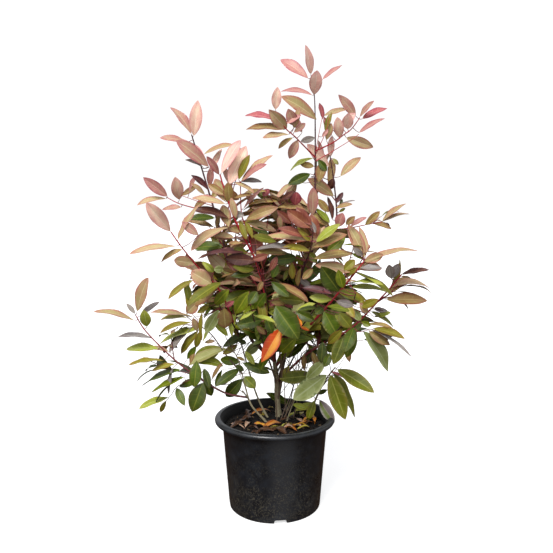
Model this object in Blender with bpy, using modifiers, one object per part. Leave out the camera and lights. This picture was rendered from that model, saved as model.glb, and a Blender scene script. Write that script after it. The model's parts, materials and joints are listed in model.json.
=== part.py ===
"""Potted photinia: a young evergreen shrub with several stems, in a 300 mm nursery pot.

Metres, +Z up, front towards -Y. The origin is the centre of the pot's flat underside.
Each sub-part is one named object: the pot, the potting mix in it, the trunk and the
stems beside it, every bough, and every mass of foliage. Boughs start in a saddle cut
to fit the limb that bears them and end just inside the mass that they carry. A mass
is a lumpy solid, flat where it meets the next mass, with a socket for each limb.
"""

import math
from collections import namedtuple

import bmesh
import bpy
from mathutils import Vector, noise

CM = 0.01
MM = 0.001

# Clearance between neighbouring solids.
GAP = 0.3 * MM

# Pot: a tapered shell with a flat floor and a lip that rolls out and down.
POT_RADIUS_FOOT = 114.7 * MM
POT_RADIUS_TOP = 132.5 * MM
POT_HEIGHT = 227 * MM
POT_WALL = 2.2 * MM
POT_FLOOR = 3 * MM
LIP_RADIUS = 150 * MM
LIP_DEPTH = 18 * MM
LIP_ROUND = 8 * MM
POT_SEGMENTS = 36
NOTCH_COUNT = 4
NOTCH_TURN = math.radians(7)
NOTCH_WIDTH = 30 * MM
NOTCH_HEIGHT = 9 * MM
NOTCH_REACH = 14 * MM

# Potting mix: level round the stems, falling away to the wall.
MIX_HEIGHT = 210 * MM
MIX_LEVEL_RADIUS = 98 * MM
MIX_EDGE_HEIGHT = 198 * MM

# Limbs: tapered tubes that spread out where they stand on the mix.
FLARE_LENGTH = 11 * MM
FLARE_SPREAD = 1.3
TUBE_SIDES = 6
RING_SPACING = 4.5 * CM

# Masses of foliage.
LUMP_SIZE = 1.5
LUMP_DEPTH = 0.42
LARGE_MASS = 8.5

# The front elevation's eye point. A place in it is (x, z, depth) in cm: x and z where
# the eye sees it on the plane y = 0, and depth how far it lies behind that plane.
EYE = Vector((0.0045, -1.467, 0.725))

# A limb grows from its parent at a height in cm above the ground (None: on the mix, at
# its route's first place) and passes through the places of its route. Radii are in mm.
Limb = namedtuple("Limb", "name parent height foot tip colour route")
LIMBS = [
    Limb("trunk", None, None, 6.8, 5.4, "bark",
         [(1.1, 22.2, 4), (0.6, 27.4, 4), (0.5, 32, 4), (-0.1, 36.5, 3.5)]),
    Limb("left_stem", None, None, 2.7, 2.0, "bark",
         [(-2.2, 20.9, 0), (-5.8, 25.1, 0), (-7.4, 30.1, 1), (-9, 36.5, 1)]),
    Limb("inner_left_stem", None, None, 2.6, 2.0, "bark",
         [(-1.6, 21.6, 3), (-4.4, 27.5, 4), (-7, 36, 4), (-9.3, 45, 2)]),
    Limb("right_stem", None, None, 2.6, 1.9, "bark",
         [(8.7, 22.2, 2), (10.6, 27.5, 0), (12.8, 31.8, -2), (14.7, 34.2, -3)]),
    Limb("leader", "trunk", 28, 4.2, 1.8, "bark",
         [(2.0, 35, 5.6), (6.5, 57.8, 4.5), (9.6, 66, 4), (9.8, 80, 5), (9.6, 99, 4)]),
    Limb("left_leader", "trunk", 36, 4.0, 1.6, "bark",
         [(-3.8, 40, 3), (-6.8, 44.5, 2), (-12.2, 65, 3), (-15, 75, 4), (-18, 86, 5)]),
    Limb("centre_bough", "trunk", 37, 3.9, 1.6, "red_bark",
         [(-1.0, 42, 1.5), (-2, 51, 0), (-4.4, 61, -2), (-9.4, 71, -5), (-12.2, 80.5, -6)]),
    Limb("crest_left_branch", "leader", 87, 1.5, 1.1, "red_bark",
         [(6.9, 89.4, 2), (4.8, 91.5, 0)]),
    Limb("crest_right_branch", "leader", 88.5, 1.5, 1.1, "red_bark",
         [(14, 90, 7), (16.5, 91.8, 8)]),
    Limb("second_leader", "leader", 62, 2.6, 1.5, "bark",
         [(12.5, 66.5, 7), (15, 71, 9), (14.4, 79.5, 9)]),
    Limb("right_upper_branch", "second_leader", 69, 1.5, 1.1, "red_bark",
         [(18, 69.5, 13), (22, 70.3, 16)]),
    Limb("right_bough", "trunk", 34, 2.9, 1.6, "red_bark",
         [(6, 42.5, 0), (12.4, 49.6, -5), (18, 56.4, -9), (21, 60.4, -10)]),
    Limb("right_outer_bough", "trunk", 30, 2.9, 1.6, "red_bark",
         [(7, 37.5, 2), (13, 41.5, 1), (19.2, 45, -1), (27, 52.8, -2)]),
    Limb("left_bough", "inner_left_stem", 41, 1.8, 1.4, "red_bark",
         [(-13.2, 53.6, -5), (-18.7, 59.8, -9), (-22.8, 65, -12)]),
    Limb("far_left_bough", "left_stem", 27, 2.2, 1.5, "red_bark",
         [(-12.3, 28.3, 0), (-18, 31.6, 0), (-24.6, 36.5, 1), (-31.6, 43.6, 2)]),
    Limb("left_mid_branch", "left_stem", 33, 1.7, 1.2, "bark",
         [(-12, 37.9, 6), (-15.9, 43.4, 10), (-20.4, 46, 13)]),
    Limb("left_upper_branch", "left_leader", 73, 1.5, 1.1, "red_bark",
         [(-17.5, 73.9, 9), (-23, 75.4, 13)]),
    Limb("front_left_bough", "trunk", 29.5, 2.6, 1.4, "bark",
         [(-1.5, 37, -6), (-3.5, 43, -16), (-5, 46.5, -22)]),
    Limb("front_right_bough", "trunk", 32, 2.6, 1.4, "bark",
         [(4, 41, -6), (8, 47, -16), (10, 50, -21)]),
    Limb("back_bough", "trunk", 31.5, 2.9, 1.5, "bark",
         [(0, 42, 12), (1, 53, 25.5)]),
    Limb("back_left_bough", "trunk", 35, 2.6, 1.5, "bark",
         [(-4, 45, 11), (-10.5, 57, 20)]),
    Limb("back_right_bough", "trunk", 27.5, 2.6, 1.5, "bark",
         [(5, 38, 12), (11.5, 49, 22)]),
    Limb("back_upper_branch", "leader", 60, 1.9, 1.3, "bark",
         [(6, 66, 10), (3.5, 70.5, 14)]),
]

# A mass is centred on a place of the elevation. Its half sizes in cm run along it, across
# it and in depth, and slope is the turn in degrees of its length above level.
Mass = namedtuple("Mass", "name place half slope colour")
MASSES = [
    Mass("crest_foliage", (8.4, 105, 4), (8.6, 6.8, 6.5), 90, "rose"),
    Mass("crest_left_foliage", (0, 95.2, -2), (8.2, 6.2, 6), 8, "rose"),
    Mass("crest_right_foliage", (19.4, 95.2, 9), (8.2, 5.4, 6), 8, "rose"),
    Mass("second_leader_foliage", (13.8, 84.4, 9.5), (7.2, 5.8, 5.5), 60, "rose"),
    Mass("leader_foliage", (6.6, 80, 5), (6.2, 4.8, 5), 75, "bronze"),
    Mass("left_leader_foliage", (-19.8, 91.6, 5), (8.4, 6, 6.5), 105, "rose"),
    Mass("tuft_foliage", (-9, 84.6, -6), (7.8, 5.4, 6), 20, "rose"),
    Mass("left_upper_foliage", (-26.6, 77.6, 15), (7.4, 4.4, 5.5), 5, "rose"),
    Mass("left_foliage", (-26.4, 68.8, -13), (8.6, 5, 6), 50, "rose"),
    Mass("left_leader_lower_foliage", (-15.6, 69.4, 2), (6.4, 5, 5), 20, "bronze"),
    Mass("left_lower_foliage", (-20.4, 57.6, -8), (6.4, 5.4, 5.5), 70, "bronze"),
    Mass("far_left_foliage", (-35.6, 48.8, 2), (8.6, 6.6, 6), 25, "olive"),
    Mass("far_left_lower_foliage", (-28.6, 31.5, 3), (8.8, 4.2, 4.5), 48, "green"),
    Mass("left_mid_foliage", (-24.4, 44.4, 14), (7.2, 5, 5), 10, "olive"),
    Mass("low_left_foliage", (-18.4, 31, -2), (7.4, 4.4, 4.5), 95, "green"),
    Mass("low_left_inner_foliage", (-11, 35.6, -1), (6, 5.2, 5), 40, "green"),
    Mass("centre_front_foliage", (-0.4, 43, -9), (7.2, 6.2, 5), 80, "green"),
    Mass("centre_left_foliage", (-10.6, 49.2, 1), (6.4, 6, 5.5), 0, "green"),
    Mass("centre_foliage", (-6.6, 58.6, 0), (6.8, 5, 5.5), 0, "bronze"),
    Mass("centre_upper_foliage", (-1, 69, -4), (9, 5.6, 5.5), 0, "bronze"),
    Mass("centre_right_foliage", (13, 65, 6), (7, 6, 5), 80, "bronze"),
    Mass("mid_right_foliage", (9.6, 54, 3), (6.2, 6, 5.5), 0, "olive"),
    Mass("right_upper_foliage", (25.4, 71.6, 18), (7.8, 3.6, 5), 12, "bronze"),
    Mass("right_foliage", (25.4, 63.4, -11), (9, 5.2, 6), 0, "bronze"),
    Mass("right_outer_foliage", (31, 54.4, -3), (8, 5.8, 6), 5, "olive"),
    Mass("right_drooping_foliage", (24, 41, -3), (8.6, 5.4, 5.5), -25, "green"),
    Mass("right_low_foliage", (17.6, 29, -4), (8.2, 4.8, 5), -62, "green"),
    Mass("low_right_inner_foliage", (7.6, 31, -3), (6.2, 4, 4.5), 20, "green"),
    Mass("low_right_foliage", (9.6, 43, 0), (6, 5.2, 4.8), 0, "green"),
    Mass("front_left_foliage", (-7, 50.5, -26), (8, 6, 7), 0, "olive"),
    Mass("front_right_foliage", (12.4, 53.5, -25), (8, 6, 7), 0, "olive"),
    Mass("back_foliage", (1, 56.5, 30), (9, 7.5, 8.5), 0, "green"),
    Mass("back_left_foliage", (-13, 60, 24), (8.4, 7.2, 7.5), 0, "olive"),
    Mass("back_right_foliage", (14, 52.5, 26), (8.4, 7.2, 7.5), 0, "green"),
    Mass("back_upper_foliage", (2, 75, 18), (8, 6, 6.5), 0, "bronze"),
]

# Colour (linear RGB) and roughness of each material.
FINISHES = {
    "pot_plastic": ((0.012, 0.014, 0.018), 0.42),
    "mix": ((0.035, 0.022, 0.014), 0.95),
    "bark": ((0.14, 0.10, 0.075), 0.85),
    "red_bark": ((0.19, 0.035, 0.03), 0.6),
    "rose": ((0.50, 0.23, 0.19), 0.55),
    "bronze": ((0.27, 0.18, 0.09), 0.5),
    "olive": ((0.20, 0.20, 0.07), 0.5),
    "green": ((0.07, 0.15, 0.035), 0.45),
}


def new_collection(name):
    """A collection of the scene, where the objects are made."""
    made = bpy.data.collections.new(name)
    bpy.context.scene.collection.children.link(made)
    return made


def material(name):
    """The Principled material of one finish, made on first use."""
    found = bpy.data.materials.get(name)
    if found:
        return found
    colour, roughness = FINISHES[name]
    made = bpy.data.materials.new(name)
    made.use_nodes = True
    shader = made.node_tree.nodes["Principled BSDF"]
    shader.inputs["Base Color"].default_value = (*colour, 1)
    shader.inputs["Roughness"].default_value = roughness
    shader.inputs["Metallic"].default_value = 0
    return made


def new_object(name, mesh, collection, finish=None):
    """An object on its mesh. One with no finish is a cutter."""
    made = bpy.data.objects.new(name, mesh)
    collection.objects.link(made)
    if finish:
        mesh.materials.append(material(finish))
    else:
        made.hide_render = True
        made.display_type = "WIRE"
    return made


def cut(target, cutter):
    """Cuts the cutter's shape out of the target."""
    boolean = target.modifiers.new("cut by " + cutter.name, "BOOLEAN")
    boolean.operation = "DIFFERENCE"
    boolean.object = cutter


def place(x, z, depth):
    """The point that a place of the front elevation stands for."""
    on_plane = Vector((x, 0, z)) * CM
    return EYE + (on_plane - EYE) * (1 - depth * CM / EYE.y)


def smooth_path(points):
    """Evenly spaced points of a curve through the given ones (Catmull-Rom)."""
    before = points[0] * 2 - points[1]
    after = points[-1] * 2 - points[-2]
    knots = [before, *points, after]
    path = [points[0]]
    for a, b, c, d in zip(knots, knots[1:], knots[2:], knots[3:]):
        steps = max(1, round((c - b).length / RING_SPACING))
        for step in range(1, steps + 1):
            t = step / steps
            bend = b * 2 + (c - a) * t + (a * 2 - b * 5 + c * 4 - d) * t**2
            path.append((bend + (b * 3 - a - c * 3 + d) * t**3) / 2)
    return path


def at_height(path, height):
    """The point where a rising path passes a height."""
    for low, high in zip(path, path[1:]):
        if low.z <= height <= high.z:
            return low.lerp(high, (height - low.z) / (high.z - low.z))
    return path[-1]


def limb_path(limb, paths):
    """A limb's centre line, from inside its parent or from just below the mix's top."""
    route = [place(*spot) for spot in limb.route]
    if limb.parent:
        return smooth_path([at_height(paths[limb.parent], limb.height * CM), *route])
    path = smooth_path(route)
    foot = path[0]
    rise = (path[1] - foot).normalized() * FLARE_LENGTH
    return [foot - rise, foot, foot + rise, foot + rise * 2, *path[1:]]


def limb_radii(limb, path):
    """The radius at each point: an even taper, with a spread foot on the mix."""
    reach = [0.0]
    for low, high in zip(path, path[1:]):
        reach.append(reach[-1] + (high - low).length)
    radii = [limb.foot + (limb.tip - limb.foot) * r / reach[-1] for r in reach]
    if limb.parent is None:
        spread = [limb.foot * FLARE_SPREAD * math.exp(-r / FLARE_LENGTH) for r in reach]
        radii = [radius + extra for radius, extra in zip(radii, spread)]
    return [radius * MM for radius in radii]


def tube_mesh(name, path, radii):
    """A closed tube round a path, as a mesh with welded caps."""
    curve = bpy.data.curves.new(name, "CURVE")
    curve.dimensions = "3D"
    curve.bevel_depth = 1.0
    curve.bevel_resolution = TUBE_SIDES // 2 - 2
    curve.use_fill_caps = True
    spline = curve.splines.new("POLY")
    spline.points.add(len(path) - 1)
    for point, position, radius in zip(spline.points, path, radii):
        point.co = (*position, 1)
        point.radius = radius
    guide = bpy.data.objects.new(name, curve)
    bpy.context.scene.collection.objects.link(guide)
    graph = bpy.context.evaluated_depsgraph_get()
    mesh = bpy.data.meshes.new_from_object(guide.evaluated_get(graph))
    bpy.data.objects.remove(guide)
    shape = bmesh.new()
    shape.from_mesh(mesh)
    bmesh.ops.remove_doubles(shape, verts=shape.verts, dist=0.01 * MM)
    shape.to_mesh(mesh)
    shape.free()
    return mesh


def cut_level(mesh, height):
    """Cuts a mesh flat at a height and closes the cut."""
    shape = bmesh.new()
    shape.from_mesh(mesh)
    everything = shape.verts[:] + shape.edges[:] + shape.faces[:]
    cut_made = bmesh.ops.bisect_plane(
        shape, geom=everything, plane_co=(0, 0, height), plane_no=(0, 0, 1), clear_inner=True
    )
    rim = [part for part in cut_made["geom_cut"] if isinstance(part, bmesh.types.BMEdge)]
    bmesh.ops.contextual_create(shape, geom=rim)
    bmesh.ops.recalc_face_normals(shape, faces=shape.faces)
    shape.to_mesh(mesh)
    shape.free()


def build_limb(limb, paths, parts, cutters):
    """One limb and its clearance cutter, cut to fit its parent and that parent's other limbs."""
    path = limb_path(limb, paths)
    radii = limb_radii(limb, path)
    paths[limb.name] = path
    mesh = tube_mesh(limb.name, path, radii)
    if limb.parent is None:
        cut_level(mesh, MIX_HEIGHT + GAP)
    made = new_object(limb.name, mesh, parts, limb.colour)
    wide = tube_mesh(limb.name + "_clearance", path, [radius + GAP for radius in radii])
    new_object(limb.name + "_clearance", wide, cutters)
    for other in LIMBS[: LIMBS.index(limb)]:
        if limb.parent and limb.parent in (other.name, other.parent):
            cut(made, cutters.objects[other.name + "_clearance"])


def mass_axes(mass):
    """The directions of a mass's length, width and depth."""
    turn = math.radians(mass.slope)
    along = Vector((math.cos(turn), 0, math.sin(turn)))
    return along, Vector((-along.z, 0, along.x)), Vector((0, 1, 0))


def reach_of(mass, direction):
    """How far a mass's plain ellipsoid reaches from its centre in a direction."""
    ratios = [direction.dot(axis) / (half * CM) for axis, half in zip(mass_axes(mass), mass.half)]
    return 1 / math.hypot(*ratios)


def shared_planes(mass):
    """(direction, distance) of the planes that part a mass from those that it would meet."""
    centre = place(*mass.place)
    planes = []
    for other in MASSES:
        to_other = place(*other.place) - centre
        if other is mass:
            continue
        direction = to_other.normalized()
        here, there = reach_of(mass, direction), reach_of(other, direction)
        share = to_other.length * here / (here + there)
        planes.append((direction, share - GAP / 2))
    return planes


def build_mass(mass, parts):
    """A lumpy solid of leaves, flat where it meets the next one."""
    centre = place(*mass.place)
    planes = shared_planes(mass)
    axes = mass_axes(mass)
    seed = Vector((MASSES.index(mass) * 3.7, 0, 0))
    shape = bmesh.new()
    fineness = 3 if mass.half[0] > LARGE_MASS else 2
    bmesh.ops.create_icosphere(shape, subdivisions=fineness, radius=1)
    for vert in shape.verts:
        lump = 1 + LUMP_DEPTH * noise.noise(vert.co * LUMP_SIZE + seed)
        offset = sum((axis * vert.co[i] * mass.half[i] * CM for i, axis in enumerate(axes)), Vector())
        reach = offset.length * lump
        direction = offset.normalized()
        for normal, distance in planes:
            if direction.dot(normal) > 0:
                reach = min(reach, distance / direction.dot(normal))
        vert.co = centre + direction * reach
    mesh = bpy.data.meshes.new(mass.name)
    shape.to_mesh(mesh)
    shape.free()
    return new_object(mass.name, mesh, parts, mass.colour)


def boxes_meet(first, second):
    """Whether the boxes round two objects' meshes meet."""
    for axis in range(3):
        one = [vert.co[axis] for vert in first.data.vertices]
        two = [vert.co[axis] for vert in second.data.vertices]
        if min(one) > max(two) or min(two) > max(one):
            return False
    return True


def turned_mesh(name, profile):
    """An object with a profile (x, z) turned about the Z axis by a Screw modifier."""
    mesh = bpy.data.meshes.new(name)
    edges = [(i, i + 1) for i in range(len(profile) - 1)]
    mesh.from_pydata([(x, 0, z) for x, z in profile], edges, [])
    return mesh


def turn(made):
    """Turns an object's profile full circle and closes it on the axis."""
    screw = made.modifiers.new("turn", "SCREW")
    screw.steps = POT_SEGMENTS
    screw.render_steps = POT_SEGMENTS
    screw.use_merge_vertices = True
    screw.merge_threshold = 0.0001


def wall_radius(height):
    """The pot's outer radius at a height."""
    return POT_RADIUS_FOOT + (POT_RADIUS_TOP - POT_RADIUS_FOOT) * height / POT_HEIGHT


def lip_arc(radius, steps):
    """A quarter round from the lip's top to its outer edge."""
    for step in range(steps + 1):
        angle = math.pi / 2 * step / steps
        yield (
            LIP_RADIUS - LIP_ROUND + radius * math.sin(angle),
            POT_HEIGHT - LIP_ROUND + radius * math.cos(angle),
        )


def build_pot(parts, cutters):
    """The pot, with its rolled lip and the drainage notches at its foot."""
    under_lip = POT_HEIGHT - POT_WALL
    profile = [
        (0, POT_FLOOR),
        (wall_radius(POT_FLOOR) - POT_WALL, POT_FLOOR),
        (wall_radius(POT_HEIGHT) - POT_WALL, POT_HEIGHT),
        *lip_arc(LIP_ROUND, 2),
        (LIP_RADIUS, POT_HEIGHT - LIP_DEPTH),
        (LIP_RADIUS - POT_WALL, POT_HEIGHT - LIP_DEPTH),
        *reversed(list(lip_arc(LIP_ROUND - POT_WALL, 2))),
        (wall_radius(under_lip), under_lip),
        (POT_RADIUS_FOOT, 0),
        (0, 0),
    ]
    pot = new_object("pot", turned_mesh("pot", profile), parts, "pot_plastic")
    turn(pot)
    for number in range(NOTCH_COUNT):
        mesh = bpy.data.meshes.new("notch")
        shape = bmesh.new()
        bmesh.ops.create_cube(shape, size=1)
        shape.to_mesh(mesh)
        shape.free()
        notch = new_object(f"notch_{number + 1}", mesh, cutters)
        angle = NOTCH_TURN - math.pi / 2 + number * 2 * math.pi / NOTCH_COUNT
        notch.location = Vector((math.cos(angle), math.sin(angle), 0)) * POT_RADIUS_FOOT
        notch.rotation_euler.z = angle
        notch.scale = (2 * NOTCH_REACH, NOTCH_WIDTH, 2 * NOTCH_HEIGHT)
        cut(pot, notch)


def build_mix(parts):
    """The plug of potting mix that fills the pot."""
    bottom = POT_FLOOR + GAP
    inside = POT_WALL + GAP
    profile = [
        (0, MIX_HEIGHT),
        (MIX_LEVEL_RADIUS, MIX_HEIGHT),
        (wall_radius(MIX_EDGE_HEIGHT) - inside, MIX_EDGE_HEIGHT),
        (wall_radius(bottom) - inside, bottom),
        (0, bottom),
    ]
    turn(new_object("potting_mix", turned_mesh("potting_mix", profile), parts, "mix"))


def build():
    """The whole plant in its pot."""
    for old in list(bpy.data.objects):
        bpy.data.objects.remove(old)
    parts = new_collection("potted_photinia")
    cutters = new_collection("cutters")
    cutters.hide_render = True
    build_pot(parts, cutters)
    build_mix(parts)
    paths = {}
    for limb in LIMBS:
        build_limb(limb, paths, parts, cutters)
    for mass in MASSES:
        foliage = build_mass(mass, parts)
        for limb in LIMBS:
            clearance = cutters.objects[limb.name + "_clearance"]
            if boxes_meet(foliage, clearance):
                cut(foliage, clearance)


build()
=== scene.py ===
"""Looks of the potted photinia: bark, shoots, leaves, potting mix and the nursery pot.

Metres, +Z up, front towards -Y. Places are worked out in the front elevation that the CAD
uses: x and z in cm where the eye point sees them on the plane y = 0, and a depth in cm.
"""

import json
import math
import random
from collections import namedtuple

import bmesh
import bpy
import numpy as np
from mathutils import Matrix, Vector, noise

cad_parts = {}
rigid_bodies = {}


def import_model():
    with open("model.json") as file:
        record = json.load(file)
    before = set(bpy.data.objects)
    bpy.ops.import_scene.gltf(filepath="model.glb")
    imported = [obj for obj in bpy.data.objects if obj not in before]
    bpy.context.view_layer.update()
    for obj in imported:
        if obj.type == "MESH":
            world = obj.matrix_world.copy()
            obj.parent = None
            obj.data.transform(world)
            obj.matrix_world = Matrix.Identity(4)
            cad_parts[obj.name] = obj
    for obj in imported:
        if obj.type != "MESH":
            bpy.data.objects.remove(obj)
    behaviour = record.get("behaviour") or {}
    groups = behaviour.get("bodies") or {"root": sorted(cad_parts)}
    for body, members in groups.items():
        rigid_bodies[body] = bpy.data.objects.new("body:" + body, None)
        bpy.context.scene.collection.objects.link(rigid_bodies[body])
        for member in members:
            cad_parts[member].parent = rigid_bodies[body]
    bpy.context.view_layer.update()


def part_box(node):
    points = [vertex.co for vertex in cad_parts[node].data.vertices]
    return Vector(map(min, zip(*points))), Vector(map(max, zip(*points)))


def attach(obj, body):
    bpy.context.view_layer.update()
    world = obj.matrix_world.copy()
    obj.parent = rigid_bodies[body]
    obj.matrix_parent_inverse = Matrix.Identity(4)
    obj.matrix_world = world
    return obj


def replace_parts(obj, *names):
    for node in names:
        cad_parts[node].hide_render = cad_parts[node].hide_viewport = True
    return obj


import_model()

CM = 0.01
MM = 0.001
UP = Vector((0, 0, 1))
GOLDEN_ANGLE = math.radians(137.5)

# The eye point of the front elevation, which is where the camera stands.
EYE = Vector((0.0045, -1.467, 0.725))
CAMERA_DIP = math.radians(5.77)
CAMERA_LENS = 39.06
SENSOR_WIDTH = 36

# The sharpest angles that are shaded smooth, and how near points are that get joined.
CREASE = math.radians(55)
POT_CREASE = math.radians(40)
WELD = 0.01 * MM

# Pot and mix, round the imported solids.
POT_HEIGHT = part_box("pot")[1].z
LIP_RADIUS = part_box("pot")[1].x
MIX_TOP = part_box("potting_mix")[1].z
FOOT_RADIUS = 114.7 * MM
TOP_RADIUS = 132.5 * MM
POT_WALL = 2.2 * MM
POT_FLOOR = 3 * MM
LIP_DEPTH = 11 * MM
LIP_WIDTH = 13.5 * MM
MIX_LEVEL_RADIUS = 98 * MM
MIX_EDGE_HEIGHT = 198 * MM
MIX_CLEARANCE = 0.3 * MM
TURN_STEPS = 160
INNER_ROWS = 18
OUTER_ROWS = 16
MIX_ROWS = 64
CLOD = 14 * MM
CLOD_RISE = 1.6 * MM
CRUMB_RISE = 0.9 * MM

# Drainage notches.
NOTCH_COUNT = 4
NOTCH_TURN = math.radians(7)
NOTCH_WIDTH = 30 * MM
NOTCH_HEIGHT = 9 * MM
NOTCH_REACH = 26 * MM
NOTCH_FOOT = 1.18
NOTCH_HEAD = 0.9
NOTCH_ROUNDING = 0.06

# Wood. Limbs come in three barks, and the thicket is bare stems and forks inside the crown. The
# radii of twigs are in mm.
WOODS = {"old": 0, "brown": 1, "red": 2}
TUBE_SEAM = (0.31, 0.87, 0.38)
BARK_RING = 3 * MM
OLD_RIDGES = 0.13
YOUNG_RIDGES = 0.08
BARK_SHIFT = 9.1
FLARE_LENGTH = 11 * MM
FLARE_SPREAD = 1.3
TWIG_RING = 6 * MM
BUD_SPACING = 27 * MM
BUD_LENGTH = 2.2 * MM
BUD_SWELLING = 0.13
TWIG_RADII = (1.6, 1.0)
TWIG_SIDES = 6
THICKET_SEED = 31
THICKET_STEMS = 6
THICKET_STEM_RADIUS = 1.4
THICKET_FORKS = 9
THICKET_FORK_RADIUS = 1.0
THICKET_TAPER = 0.55
THICKET_SIDES = 7
THICKET_PARENTS = ["trunk", "left_stem", "inner_left_stem", "right_stem", "slender_stem_behind"]

# Leaf blades and stalks. A blade's width is at least LEAF_BROADNESS of its length, and FOLD_LOSS
# makes up for the fold at its rib. Stalks are given in cm and their radii in mm.
LEAF_THICKNESS = 0.45 * MM
LEAF_ROWS = 12
LEAF_COLUMNS = 7
ROW_CROWDING = 0.05
LEAF_BROADNESS = 0.38
FOLD_LOSS = 1.1
OUTLINE_POWER = 1.75
CURL_START = 0.55
ATLAS_TILES = 4
TILE_MARGIN = 0.04
STALK_LENGTH = (0.7, 1.2)
STALK_RADIUS = 0.95
STALK_TAPER = 0.72
STALK_BOW = 0.08
STALK_SIDES = 5
LEADING_SEED = 11
LEADING_LEAN = (-0.5, 0.4)
LEADING_ARCH = (0.3, 0.6)

# Sprays. Leaf tips stay within ROOM_SHARE of the masses, and clear of what shows by a margin in
# cm. Between the heights of the low and the high crown they turn from drooping to rising. Pairs
# are ranges to draw from, and a chance or a share has no unit.
LEAF_SPACING = 1.8 * CM
LEAF_TRIES = 4
LEAST_LEAVES = 3
ROOM_SHARE = 1.15
GROWN_LENGTH = (7.6 * CM, 11.6 * CM)
GROWN_BREADTH = (0.27, 0.38)
LIGHT_ABOVE = 0.85
LIGHT_ASIDE = 0.6
FACING_SPREAD = 0.3
TWIG_REACH = (0.25, 0.85)
TWIG_BOW = (-0.1, 0.08)
TWIG_SETBACK = 0.3
LEAST_TWIG = 2 * CM
DOWNWARD_COST = 1.5
UPTURNED = 0.7
SPRAY_COUNTS = (5, 10)
LEAFY_PART = 0.8
TURN_SPREAD = 0.25
SAME_KIND = 0.6
LOW_CROWN = 0.45
HIGH_CROWN = 0.9
SHOWN_MARGIN = 0.35
BOUGH_MARGIN = 0.5
SHOWN_BOUGHS = ["centre_bough", "left_bough", "far_left_bough", "right_bough", "right_outer_bough"]

# Bark chips on the mix, with the shares of their three colours, and fallen leaves.
CHIP_SEED = 5
CHIP_COUNT = 900
CHIP_REACH = 126 * MM
CHIP_MARGIN = 8 * MM
CHIP_SHARES = (8, 3, 0.5)
FALLEN_SEED = 23
FALLEN_COUNT = 22
FALLEN_REACH = 10.5 * CM
FALLEN_MARGIN = 10 * MM
FALLEN_SHARES = {"fallen_orange": 2, "fallen_ochre": 2, "fallen_brown": 6}

# Light. The card is the pale part of the surround in front, which the pot and the leaves reflect.
SKY_TINT = "#E6E8EC"
GROUND_TINT = "#4A3628"
CARD_TINT = "#C2BEBE"
CARD_AIM = (0.3, -0.88, -0.36)
FLOOR_GLOW = 0.62
FLOOR_REACH = 60
KEY_STRENGTH = 3.3
KEY_SPREAD = math.radians(28)
KEY_TURN = (math.radians(38), 0, math.radians(-26))
SOFTBOX_WATTS = 26
SOFTBOX_SIZE = 1.6
SOFTBOX_PLACE = (0.35, -3.2, 1.9)
SOFTBOX_TURN = (math.radians(64), 0, math.radians(6))
BACKDROP = (1.05, 1.05, 1.05, 1)

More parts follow.
